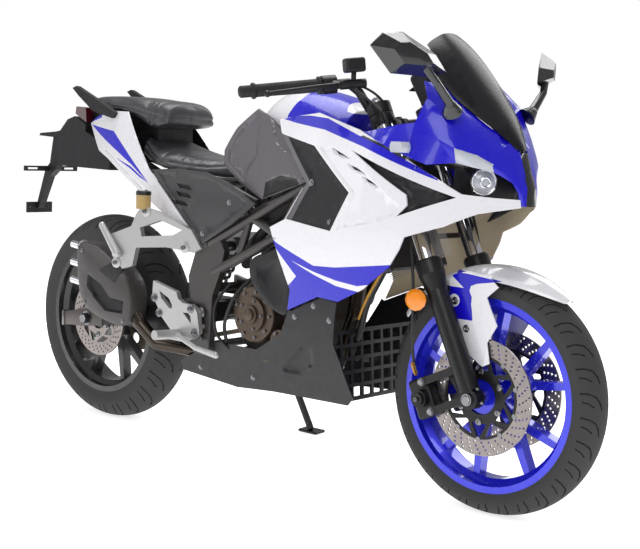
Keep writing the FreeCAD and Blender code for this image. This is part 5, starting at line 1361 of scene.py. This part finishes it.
@dataclass
class Bodywork:
    """The lacquered and moulded panels with their stripes, fields and screws.

    Attributes:
        top_band: The blue band along the top of the side fairing.
        shut_line_shade: A black strip along the band's upper edge, painted shade for the gap there.
        low_blue: The blue field at the foot of the side fairing.
        low_stripe: The white stripe in that field.
        fender_blue: The blue field on the fender's side.
        louvres: The three louvres of the side fairing.
        raised: The field ahead of the dark insert that stands proud.
    """

    top_band: Outline = ((846, 907), (900, 897), (996, 883), (1120, 847), (1245, 801), (1309, 776),
                         (1300, 790), (1237, 819), (1178, 846), (1110, 870), (1000, 910), (940, 916),
                         (890, 915))
    # The black strip is painted shade in the gap along the band's upper edge
    shut_line_shade: Outline = ((1118, 872), (1178, 852), (1236, 825), (1237, 819), (1178, 846), (1110, 870))
    low_blue: Outline = ((838, 618), (866, 604), (900, 592), (993, 560), (1062, 562), (1225, 582),
                         (1144, 515), (1064, 476), (1000, 481), (886, 434), (899, 500), (932, 528),
                         (866, 586))
    low_stripe: Outline = ((915, 566), (994, 545), (1064, 531), (1128, 524), (1160, 530), (1135, 510),
                           (1064, 518), (994, 538))
    fender_blue: Outline = ((1272, 568), (1332, 565), (1383, 560), (1424, 555), (1398, 550), (1361, 544),
                            (1345, 537), (1342, 526), (1349, 512), (1348, 495), (1351, 482), (1354, 458),
                            (1289, 458), (1246, 533), (1326, 531), (1299, 551))
    louvres: tuple[Outline, ...] = (((1024, 842), (1052, 835), (1088, 816), (1046, 823)),
                                    ((1079, 807), (1108, 801), (1144, 781), (1100, 789)),
                                    ((1125, 781), (1152, 773), (1183, 753), (1144, 762)))
    raised: Outline = ((980, 846), (1058, 842), (1090, 824), (1236, 716), (1216, 688), (1138, 662),
                       (1058, 648), (1104, 740), (1046, 790))

    def fairings(self) -> None:
        """The side fairings with their louvres, darkened inside by painted shade, and raised field, and the dark
        inserts with a grey border.
        """
        for side in ("right", "left"):
            PaintedPanel(f"side_fairing_{side}", WHITE_LACQUER, "white_paint",
                         [Patch(BLUE_LACQUER, self.top_band), Patch(BLACK_LACQUER, self.shut_line_shade),
                          Patch(BLUE_LACQUER, self.low_blue), Patch(WHITE_LACQUER, self.low_stripe)]
                         # The dark patch inside each louvre is painted shade, for the dark of its slit
                         + [Patch(GRAIN_ABS, inset(louvre, 4)) for louvre in self.louvres],
                         [Press(self.raised, -3, 6)] + [Press(louvre, 5, 2.5) for louvre in self.louvres],
                         # The pale inner face is painted light on a tan back
                         MOULDING_BACK_PAINTED_LIGHT).build()
        border = ((847, 873), (868, 868), (974, 755), (914, 663), (895, 664), (957, 755))
        middle = ((878, 860), (968, 838), (1084, 740), (1038, 656), (922, 672), (982, 755))
        PaintedPanel("fairing_inserts", DARK_ABS, "black_plastic", [Patch(GREY_ABS, border)],
                     [Press(middle, 2.5, 5)], screws=[(974, 757), (1040, 668)]).build()

    def middle(self) -> None:
        """The knee panels, side covers, belly pans and the tank."""
        upper = ((731, 920), (765, 875), (789, 843), (830, 822), (872, 820), (833, 868))
        lower = ((752, 706), (762, 748), (825, 768), (890, 763), (900, 748), (848, 735))
        rear = ((586, 790), (586, 824), (618, 878), (668, 925), (703, 918), (712, 890), (728, 815),
                (664, 742), (650, 750))
        PaintedPanel("knee_panels", GREY_ABS, "grey_plastic", [Patch(DARK_ABS, lower)],
                     [Press(upper, 5, 6), Press(lower, 4, 4), Press(rear, 4, 10)]).build()
        hollow = ((322, 758), (420, 762), (536, 756), (632, 732), (722, 694), (652, 645), (532, 582),
                  (496, 612), (404, 688))
        PaintedPanel("side_covers", COVER_ABS, "black_plastic", [], [Press(hollow, 3, 7)],
                     screws=[(640, 690), (530, 600)]).build()
        recess = ((955, 372), (955, 300), (880, 268), (820, 268), (862, 312), (915, 350))
        for side in ("right", "left"):
            PaintedPanel(f"belly_pan_{side}", DARK_ABS, "black_plastic", [], [Press(recess, 6, 8)],
                         screws=[(975, 459), (905, 424), (1030, 430), (700, 232), (480, 226)]).build()
        white = ((570, 740), (570, 1010), (842, 1010), (832, 996), (814, 968), (798, 948), (783, 920),
                 (770, 740))
        flash = ((928, 972), (990, 950), (990, 922), (962, 930))
        PaintedPanel("fuel_tank", BLUE_LACQUER, "blue_paint",
                     [Patch(WHITE_LACQUER, white), Patch(WHITE_LACQUER, flash)]).build()

    def ends(self) -> None:
        """The tail panels, the fender and the nose cowl."""
        blade = ((-74, 884), (95, 866), (168, 818), (234, 771), (299, 725), (210, 772), (126, 807), (3, 853))
        strip = ((107, 792), (204, 768), (299, 725), (257, 738), (201, 762))
        corner = ((-90, 888), (-58, 925), (14, 925), (2, 905), (-64, 894))
        crease = ((30, 812), (66, 798), (200, 734), (300, 690), (195, 752), (60, 808))
        PaintedPanel("tail_panels", WHITE_LACQUER, "white_paint",
                     [Patch(BLUE_LACQUER, blade), Patch(BLUE_LACQUER, strip), Patch(BLUE_LACQUER, corner)],
                     [Press(crease, 2, 3)], DARK_ABS).build()
        PaintedPanel("front_fender", WHITE_LACQUER, "white_paint",
                     [Patch(BLUE_LACQUER, self.fender_blue), Patch(WHITE_LACQUER, circle(1301, 500, 15, 20))],
                     [], screws=[(1303, 499), (1338, 438)], screw_size=7).build()
        beak = ((1415, 870), (1440, 870), (1470, 765), (1470, 715), (1446, 715), (1440, 790))
        lens = ((1347, 850), (1380, 836), (1404, 817), (1404, 797), (1380, 804), (1347, 814))
        PaintedPanel("nose_cowl", BLUE_LACQUER, "blue_paint",
                     [Patch(BLACK_LACQUER, beak, 19), Patch(LAMP_GLASS, lens)]).build()

    def seats(self) -> None:
        """The two seats."""
        rider_edge = ((215, 832), (260, 808), (320, 790), (400, 780), (480, 776), (560, 784))
        pillion_edge = ((-70, 938), (60, 938), (180, 930), (260, 912), (318, 905))
        Seat("rider_seat", 0.8, 4, [Seam(rider_edge), Seam(((318, 760), (330, 840)), 2, 5, False)]).build()
        Seat("pillion_seat", 0.9, 4, [Seam(pillion_edge), Seam(((262, 860), (270, 975)), 4, 7, False),
                                      Seam(((236, 860), (246, 975)), 3, 6, False)]).build()

    def build(self) -> None:
        """Paints, presses and upholsters all of it."""
        self.fairings()
        self.middle()
        self.ends()
        self.seats()


def fork_place(ahead: float, left: float, up: float) -> Vector:
    """A place given along the fork.

    Args:
        ahead: Millimetres ahead of the line of the fork legs.
        left: Millimetres to the rider's left.
        up: Millimetres along the legs from the front axle.

    Returns:
        The place in upright millimetres.
    """
    return Vector((FRONT_AXLE[0] + ahead * math.cos(RAKE) - up * math.sin(RAKE), left,
                   FRONT_AXLE[2] + ahead * math.sin(RAKE) + up * math.cos(RAKE)))


FORK_UP = fork_place(0, 0, 1) - fork_place(0, 0, 0)
FORK_AHEAD = fork_place(1, 0, 0) - fork_place(0, 0, 0)


def block(bm: BMesh, place: Place, size: Place, axis: Place = (0, 0, 1), rounding: float = 0,
          index: int = 0) -> None:
    """Adds a box.

    Args:
        bm: The mesh that grows.
        place: Its middle.
        size: Its three lengths before it is turned.
        axis: Where its third length points.
        rounding: How much its edges are rounded.
        index: The material index.
    """
    part = bmesh.new()
    bmesh.ops.create_cube(part, size=1)
    bmesh.ops.scale(part, vec=size, verts=part.verts)
    if rounding:
        soften(part, rounding)
    aim(part, place, axis)
    join(bm, part, index)


def rounded(corners: Outline, times: int = 2) -> list[tuple[float, float]]:
    """Cuts an outline's corners again and again into a smooth curve.

    Args:
        corners: The outline.
        times: How often each corner is cut.

    Returns:
        The rounder outline.
    """
    for _ in range(times):
        result = []
        for (x1, z1), (x2, z2) in sides_of(corners):
            result += [(x1 * near + x2 * (1 - near), z1 * near + z2 * (1 - near)) for near in (0.75, 0.25)]
        corners = result
    return list(corners)


@dataclass
class Fittings:
    """Lamps, mirrors, hoses, screws and castings that finish the machine.

    Attributes:
        tube: How far each fork leg stands from the middle.
        stem_back: How far the steering stem stands behind the line of the legs.
        stem_radius: The stem's radius.
        stem_slack: The share of its radius that the stem loses, so that its facets clear the head tube's.
        lens_radius: Radius of a projector lens.
        ring_radius: Radius of the chromed ring round it.
        mirror_toe: How far each mirror looks outwards, in degrees.
        engine_hoses: Radius, material index and route of each hose and lead on the engine.
    """

    tube: float = 98
    stem_back: float = 33.9
    stem_radius: float = 15
    stem_slack: float = 0.06
    lens_radius: float = 25.4
    ring_radius: float = 31
    mirror_toe: float = 28
    engine_hoses: tuple[tuple[float, int, tuple[tuple[float, float, float], ...]], ...] = (
        (11, 2, ((836, -128, 388), (858, -140, 418), (905, -150, 470), (985, -125, 520), (1072, -100, 590))),
        (8, 2, ((1130, -104, 575), (1104, -112, 522), (1072, -112, 468), (1046, -98, 400), (1000, -78, 330))),
        (4, 3, ((1128, -122, 560), (1106, -128, 520), (1078, -128, 474), (1052, -116, 430))),
        (5, 2, ((700, -100, 512), (662, -146, 462), (634, -152, 400), (618, -150, 350), (612, -120, 300))),
        (4, 2, ((610, -120, 470), (590, -152, 430), (586, -156, 380), (600, -150, 320), (640, -118, 285))),
        (14, 2, ((780, -60, 660), (730, -90, 640), (690, -100, 600), (640, -90, 560), (610, -60, 520))))

    def lamps(self) -> None:
        """The lamp housing with a ribbed ring and a projector lens on each side.

        The lens and the ring are the faces of the housing that lie near the lamp's axis.
        """
        bm = copy_node("headlamps")
        way = {side: Vector((0.8, 0.6 * side.value, -0.05)).normalized() for side in Side}
        start = {side: Vector((1362, 74 * side.value, 777)) for side in Side}
        for face in bm.faces:
            face.material_index = 0
            for side in Side:
                run = face.calc_center_median() - start[side]
                along = run.dot(way[side])
                out = (run - way[side] * along).length
                if along > 5 and out < self.lens_radius:
                    face.material_index = 1
                elif along > 0 and out < self.ring_radius:
                    face.material_index = 2
        trim = [(13, -2), (13, 1.5), (11, 2.5), (9, 1.5), (9, -2)]
        for side in Side:
            lathe(bm, start[side] + way[side] * 26, way[side], trim, 32, 2)
            for x, y in circle(0, 0, self.ring_radius + 0.5, 20):
                block(bm, start[side] + facing(way[side]) @ Vector((x, y, 8)), (3, 3, 17), way[side])
        piece = finish_piece(bm, "projector_lamps", "chassis", [GRAIN_ABS, LAMP_GLASS, CHROME],
                             30)
        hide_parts("headlamps")

    def mirrors(self) -> None:
        """The mirrors with softened shells and glass set in from their rims."""
        bm = copy_node("mirrors")
        soften(bm, 3, 2, 25)
        bm.normal_update()
        toe = math.radians(self.mirror_toe)
        for side in Side:
            back = Vector((-math.cos(toe), -side.value * math.sin(toe), 0))
            rear = [face for face in bm.faces if face.calc_center_median().y * side.value > 0
                    and face.normal.dot(back) > 0.999 and face.calc_center_median().z > 1000]
            rims = bmesh.ops.inset_region(bm, faces=rear, thickness=5, depth=-1, use_even_offset=True)
            for face in rear:
                face.material_index = 1
            for face in rims["faces"]:
                face.material_index = 0
        piece = finish_piece(bm, "glazed_mirrors", "chassis", [BLACK_LACQUER, MIRROR_GLASS],
                             40)
        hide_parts("mirrors")

    def yokes(self) -> None:
        """The yokes with softened edges and their stem turned down a little."""
        bm = copy_node("steering_yokes")
        foot = fork_place(-self.stem_back, 0, 0)
        for vert in bm.verts:
            run = vert.co - foot
            out = run - FORK_UP * run.dot(FORK_UP)
            if out.length < self.stem_radius + 0.5:
                vert.co -= out * self.stem_slack
        soften(bm, 1.5, 2, 40)
        piece = finish_piece(bm, "finished_yokes", "fork", [POWDER_COAT])
        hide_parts("steering_yokes")

    def fork(self) -> None:
        """Hoses, seals, bolts and reflectors on the fork legs."""
        bm = bmesh.new()
        seal = [(21, -2), (30.5, -2), (30.5, 3), (27, 8), (21, 9), (21, -2)]
        cap = [(0, -2), (11, -2), (11, 7), (9, 8.5), (0, 8.5)]
        axle_end = [(0, 0), (11.5, 0), (11.5, 3), (9.5, 4.5), (0, 4.5)]
        reflector = [(0, -9), (24, -9), (26, -5), (26, 2), (19, 8), (0, 10)]
        shell = [(0, -13), (21, -13), (25, -9), (0, -9)]
        for side in Side:
            y = side.value
            brake_hose = [(1082, y * 200, 978), (1106, y * 158, 948), (1126, y * 126, 908),
                          (1165, y * 124, 800), (1215, y * 138, 640), (1234, y * 142, 540),
                          (1226, y * 130, 370), (1214, y * 92, 318)]
            sleeve = [(1222, y * 118, 345), (1217, y * 104, 328), (1214, y * 92, 316)]
            cable = [(1066, y * 172, 990), (1090, y * 135, 978), (1098, y * 80, 930), (1086, y * 42, 870),
                     (1082, y * 34, 800)]
            lead = [(1050, y * 180, 985), (1078, y * 140, 962), (1090, y * 86, 900), (1080, y * 46, 840)]
            hose(bm, brake_hose, 3.6)
            hose(bm, sleeve, 4.8, 3)
            lathe(bm, fork_place(0, y * self.tube, 330), FORK_UP, seal, 36)
            lathe(bm, fork_place(0, y * self.tube, 740), FORK_UP, cap, 6, 1)
            lathe(bm, (FRONT_AXLE[0], y * 121.5, FRONT_AXLE[2]), side.out, axle_end, 6, 1)
            for up in (3, 75):
                screw(bm, fork_place(-117, y * 107.3, up), side.out, 9, Head.HEX, 1)
            for up in (-16, 16):
                screw(bm, fork_place(24.5, y * (self.tube + 4), up), FORK_AHEAD, 6, index=1)
            screw(bm, fork_place(-137, y * 119, 40), side.out, 7, index=1)
            centre = Vector((1240, y * 140, 499))
            out = Vector((0.25, y, 0)).normalized()
            lathe(bm, centre, out, reflector, 12, 2)
            lathe(bm, centre, out, shell, 24)
            bar(bm, centre - out * 12, (1262, y * 104, 508), 5)
            hose(bm, cable, 3)
            hose(bm, lead, 2.6)
        finish_piece(bm, "fork_fittings", "fork", [HOSE_RUBBER, ZINC_STEEL, AMBER_LENS, GOLD_SLEEVE])

    def filler(self) -> None:
        """The filler cap with its ring of screws, flap and key tab."""
        bm = bmesh.new()
        foot = Vector((775, 0, 989))
        up = (0, 0, 1)
        lathe(bm, foot, up, [(0, -8), (40, -8), (40, 2), (36, 5), (31, 5), (30, 3), (0, 3)], 48)
        lathe(bm, foot, up, [(0, 2), (28.5, 2), (28.5, 6), (26, 7.5), (0, 7.5)], 40, 1)
        block(bm, foot + Vector((0, 0, 8)), (30, 13, 3), up, 1.2, 1)
        for x, y in circle(foot.x, foot.y, 35.5, 7):
            screw(bm, (x, y, foot.z + 5), up, 4)
        finish_piece(bm, "filler_cap", "chassis", [CHROME, BLACK_LACQUER])

    def dials(self) -> None:
        """The instruments' face with two plain dials behind the screen."""
        bm = bmesh.new()
        tilt = Vector((-0.53, 0, 0.848))
        along = Vector((0.848, 0, 0.53))
        middle = Vector((1164.6, 0, 1023.6))
        block(bm, middle, (36, 150, 3), tilt, 1.2)
        for y, radius in ((-48, 16.5), (48, 11)):
            rim = [(radius - 2, 1), (radius - 2, 4), (radius, 4), (radius, 1)]
            lathe(bm, middle + Vector((0, y, 0)), tilt, rim, 32, 1)
            pivot = middle + Vector((0, y, 0)) + tilt * 2.2
            tip = middle + Vector((0, y + radius * 0.6, 0)) + tilt * 2.2 + along * radius * 0.5
            bar(bm, pivot, tip, 0.8, 0.3, 8, 1)
        finish_piece(bm, "dial_faces", "chassis", [DIAL_FACE, ZINC_STEEL])

    def shrouds(self) -> None:
        """The dark lobes beside the cylinder, and dark plates behind the slots of the side covers as painted shade
        for the dark seen through them.
        """
        lobe = ((826, 594), (803, 577), (730, 556), (726, 517), (741, 484), (783, 443), (852, 414),
                (872, 430), (882, 498), (866, 556))
        plate = ((404, 690), (404, 738), (492, 738), (492, 664), (428, 664))
        bm = bmesh.new()
        for side in Side:
            part = bmesh.new()
            slab(part, rounded(lobe), side.value * 150, side.value * 172, 7)
            press(part, Press(inset(lobe, 22), 4, 12, 160))
            join(bm, part)
            # A dark plate behind the slots is painted shade, for the shaded inside seen through them
            slab(bm, plate, side.value * 140, side.value * 142, index=1)
        finish_piece(bm, "cylinder_shrouds", "chassis", [DARK_ABS, GRAIN_ABS], 50)

    def engine(self) -> None:
        """The screws, caps and hoses of the engine, and the fins of the radiator."""
        bm = bmesh.new()
        case = ((650, 335), (652, 462), (704, 492), (800, 498), (860, 462), (888, 400), (874, 338),
                (832, 298), (704, 298))
        for side in Side:
            for x, z in case:
                screw(bm, (x, side.value * 105, z), side.out, 6, Head.HEX)
        rings = ((9, 60, (716, -138.8, 404), 6), (5, 38, (716, -146.8, 404), 5),
                 (3, 25, (822, -148.8, 345), 6), (8, 56, (764, 134.8, 404), 6))
        for count, radius, (x, y, z), size in rings:
            for spot_x, spot_z in circle(x, z, radius, count):
                screw(bm, (spot_x, y, spot_z), (0, math.copysign(1, y), 0), size)
        right = Side.RIGHT.out
        lathe(bm, (716, -152.8, 404), right, [(0, -1), (15, -1), (15, 5), (12, 7), (0, 7)], 32, 1)
        lathe(bm, (770, -104, 300), (0, -1, 0.2), [(0, -2), (20, -2), (20, 34), (17, 38), (0, 38)], 32, 1)
        lathe(bm, (690, -104, 300), right, [(0, -2), (13, -2), (13, 20), (0, 20)], 6)
        for radius, index, route in self.engine_hoses:
            hose(bm, route, radius, index)
        for fin in range(37):
            block(bm, fork_place(-95, 0, 349 + 4.5 * fin), (3, 200, 1.2), FORK_UP, 0, 4)
        finish_piece(bm, "engine_fittings", "chassis",
                     [ZINC_STEEL, BRONZE_CAST, HOSE_RUBBER, GOLD_SLEEVE, BRIGHT_FINS])

    def muffler(self) -> None:
        """The muffler's rounded shell with its curved channel, and what carries it."""
        shell = ((50, 546), (112, 546), (165, 522), (210, 498), (262, 468), (290, 425), (288, 350),
                 (262, 316), (180, 324), (98, 348), (62, 380), (50, 440), (44, 500))
        channel = ((100, 455), (160, 430), (200, 396), (262, 392), (256, 356), (180, 356), (130, 388),
                   (96, 418))
        strap = ((150, 470), (240, 512), (262, 516), (268, 494), (220, 440))
        bm = bmesh.new()
        slab(bm, rounded(shell), -126, -192, 9)
        press(bm, Press(channel, 7, 6, 160))
        for face in bm.faces:
            centre = face.calc_center_median()
            face.material_index = 1 if centre.y < -180 and inside(centre.x, centre.z, channel) else 0
        slab(bm, strap, -187, -194, 2, 1)
        bar(bm, (252, -190, 502), (252, -212, 502), 9, index=1)
        for x, z in ((72, 520), (86, 372), (258, 336)):
            screw(bm, (x, -191.8, z), Side.RIGHT.out, 6, Head.BUTTON, 2)
        piece = finish_piece(bm, "muffler_shell", "chassis", [MUFFLER_ABS, GRAIN_ABS, ZINC_STEEL],
                             40)
        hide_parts("muffler")

    def rear(self) -> None:
        """Arm ends with chain adjusters, bracket screws, the pivot caps and the brake reservoir's cap."""
        bm = bmesh.new()
        arm_end = ((-112, 276), (-112, 316), (-40, 330), (70, 344), (70, 292), (-40, 280))
        axle_nut = [(0, 0), (14, 0), (14, 7), (12, 9), (0, 9)]
        axle_washer = [(0, 0), (21, 0), (21, 3), (0, 3)]
        pivot_cap = [(0, 0), (15, 0), (13, 4), (0, 5)]
        boss = [(0, 0), (12, 0), (12, 2), (0, 2)]
        hanger_boss = [(0, -1), (15, -1), (15, 2), (11, 4), (0, 4)]
        reservoir_cap = [(0, 0), (21, 0), (21, 9), (18, 11), (0, 11)]
        up, right = (0, 0, 1), Side.RIGHT.out
        for side in Side:
            y = side.value
            slab(bm, arm_end, y * 104, y * 114, 3)
            block(bm, (-114, y * 106, 296), (8, 22, 46), up, 2, 1)
            screw(bm, (-118, y * 106, 302), (-1, 0, 0), 7, Head.HEX, 1)
            lathe(bm, (0, y * 124.5, REAR_AXLE[2]), side.out, axle_nut, 6, 1)
            lathe(bm, (0, y * 113.8, REAR_AXLE[2]), side.out, axle_washer, 32, 1)
            lathe(bm, (528, y * 146.8, 388), side.out, pivot_cap, 32, 1)
            for x, z in ((540, 570), (530, 318)):
                screw(bm, (x, y * 141.9, z), side.out, 8, index=1)
        for x, z in ((507, 397), (524, 334), (381, 372), (360, 412)):
            lathe(bm, (x, -163.9, z), right, boss, 28, 1)
            screw(bm, (x, -165.8, z), right, 8, index=1)
        for x, y, z in ((252, -211.9, 502), (480, -166.3, 560), (350, -192.3, 650)):
            lathe(bm, (x, y, z), (0.2, -0.98, 0), hanger_boss, 32, 2)
            screw(bm, (x, y - 3.6, z), (0.2, -0.98, 0), 8, index=1)
        lathe(bm, (338, -192, 694), up, reservoir_cap, 32, 3)
        for x, y in circle(338, -192, 15, 3):
            screw(bm, (x, y, 704.8), up, 3.5, index=1)
        finish_piece(bm, "rear_fittings", "chassis", [ARM_PAINT, ZINC_STEEL, SILVER_CAST, HOSE_RUBBER])

    def build(self) -> None:
        """Makes all of the fittings."""
        self.lamps()
        self.mirrors()
        self.yokes()
        self.fork()
        self.filler()
        self.dials()
        self.shrouds()
        self.engine()
        self.muffler()
        self.rear()


@dataclass
class Studio:
    """Floor, lamps and the camera at the photograph's angle.

    Attributes:
        azimuth: The camera's direction from the target, in degrees from straight ahead.
        elevation: Its height angle in degrees.
        roll: The camera's roll in degrees.
        distance: Metres from the target.
        target: The point aimed at, in millimetres from the floor under the rear axle.
        focal_px: The focal length in pixels of the photograph's frame.
        frame_px: The frame's width in pixels.
        sensor: The camera's sensor width in millimetres.
        surround: Strength of the white surround as a lamp.
        floor_half: Half the floor's width in metres.
    """

    azimuth: float = -48.504
    elevation: float = 8.331
    roll: float = -0.123
    distance: float = 3.2162
    target: tuple[float, float, float] = (846.2, 0, 515.3)
    focal_px: float = 1246.13
    frame_px: float = 640
    sensor: float = 36
    surround: float = 0.36
    floor_half: float = 30

    def camera(self) -> None:
        """Sets the camera."""
        data = bpy.data.cameras.new("camera")
        data.sensor_width = self.sensor
        data.lens = self.focal_px * data.sensor_width / self.frame_px
        ground = Vector((STANCE.upright.translation.x, STANCE.upright.translation.y, 0))
        flat, high = math.radians(self.azimuth), math.radians(self.elevation)
        away = Vector((math.cos(high) * math.cos(flat), math.cos(high) * math.sin(flat), math.sin(high)))
        item = bpy.data.objects.new("camera", data)
        item.location = Vector(self.target) * MM + ground + away * self.distance
        turn = (-away).to_track_quat("-Z", "Y").to_matrix().to_4x4()
        item.rotation_euler = (turn @ Matrix.Rotation(math.radians(self.roll), 4, "Z")).to_euler()
        bpy.context.scene.collection.objects.link(item)
        bpy.context.scene.camera = item

    def lamp(self, name: str, place: tuple[float, float, float], size: float, power: float) -> None:
        """Adds one square lamp that faces the bike.

        Args:
            name: The lamp's name.
            place: Where it hangs, in metres.
            size: Its side in metres.
            power: Its power in watts.
        """
        data = bpy.data.lights.new(name, "AREA")
        data.size = size
        data.energy = power
        item = bpy.data.objects.new(name, data)
        item.location = place
        item.rotation_euler = (Vector((0, 0, 0.5)) - Vector(place)).to_track_quat("-Z", "Y").to_euler()
        bpy.context.scene.collection.objects.link(item)

    def floor(self) -> None:
        """Lays a wide pale floor that looks white but keeps the bike's shadow."""
        bm = bmesh.new()
        bmesh.ops.create_grid(bm, x_segments=2, y_segments=2, size=self.floor_half)
        mesh = bpy.data.meshes.new("floor")
        bm.to_mesh(mesh)
        bm.free()
        mesh.materials.append(FLOOR_PAINT.build())
        item = bpy.data.objects.new("floor", mesh)
        bpy.context.scene.collection.objects.link(item)

    def world(self) -> None:
        """A plain white surround to the camera and through glass, softer as a lamp."""
        world = bpy.data.worlds.new("surround")
        world.use_nodes = True
        tree = world.node_tree
        tree.nodes.clear()
        path = add(tree, "LightPath")
        seen = add(tree, "Math", {0: path.outputs["Is Camera Ray"], 1: path.outputs["Is Transmission Ray"]},
                   operation="MAXIMUM")
        strength = add(tree, "MapRange", {"Value": seen.outputs[0], "To Min": self.surround, "To Max": 1.0})
        background = add(tree, "Background", {"Color": (1, 1, 1, 1), "Strength": strength.outputs[0]})
        add(tree, "OutputWorld", {"Surface": background.outputs[0]})
        bpy.context.scene.world = world

    def build(self) -> None:
        """Sets the stage."""
        self.camera()
        self.floor()
        self.world()
        self.lamp("key", (2.6, -3.4, 3.4), 2.4, 62)
        self.lamp("fill", (-2.8, -3.0, 2.2), 2.6, 24)
        self.lamp("rim", (0.5, 3.4, 3.0), 2.6, 55)
        self.lamp("top", (-0.5, 0.3, 3.3), 2.4, 75)
        bpy.context.scene.view_settings.view_transform = "Standard"


def dress_nodes() -> None:
    """Gives the CAD nodes their finishes."""
    for node, finish in NODE_FINISH.items():
        data = frame["nodes"][node].data
        data.materials.clear()
        data.materials.append(finish.build())
        LOG.info("%s dressed in %s", node, finish.name)


def main() -> None:
    """Builds the studio and dresses every piece."""
    logging.basicConfig(level=logging.INFO, format="%(name)s %(message)s")
    Studio().build()
    dress_nodes()
    Wheels().build()
    Bodywork().build()
    Fittings().build()


if __name__ == "__main__":
    main()
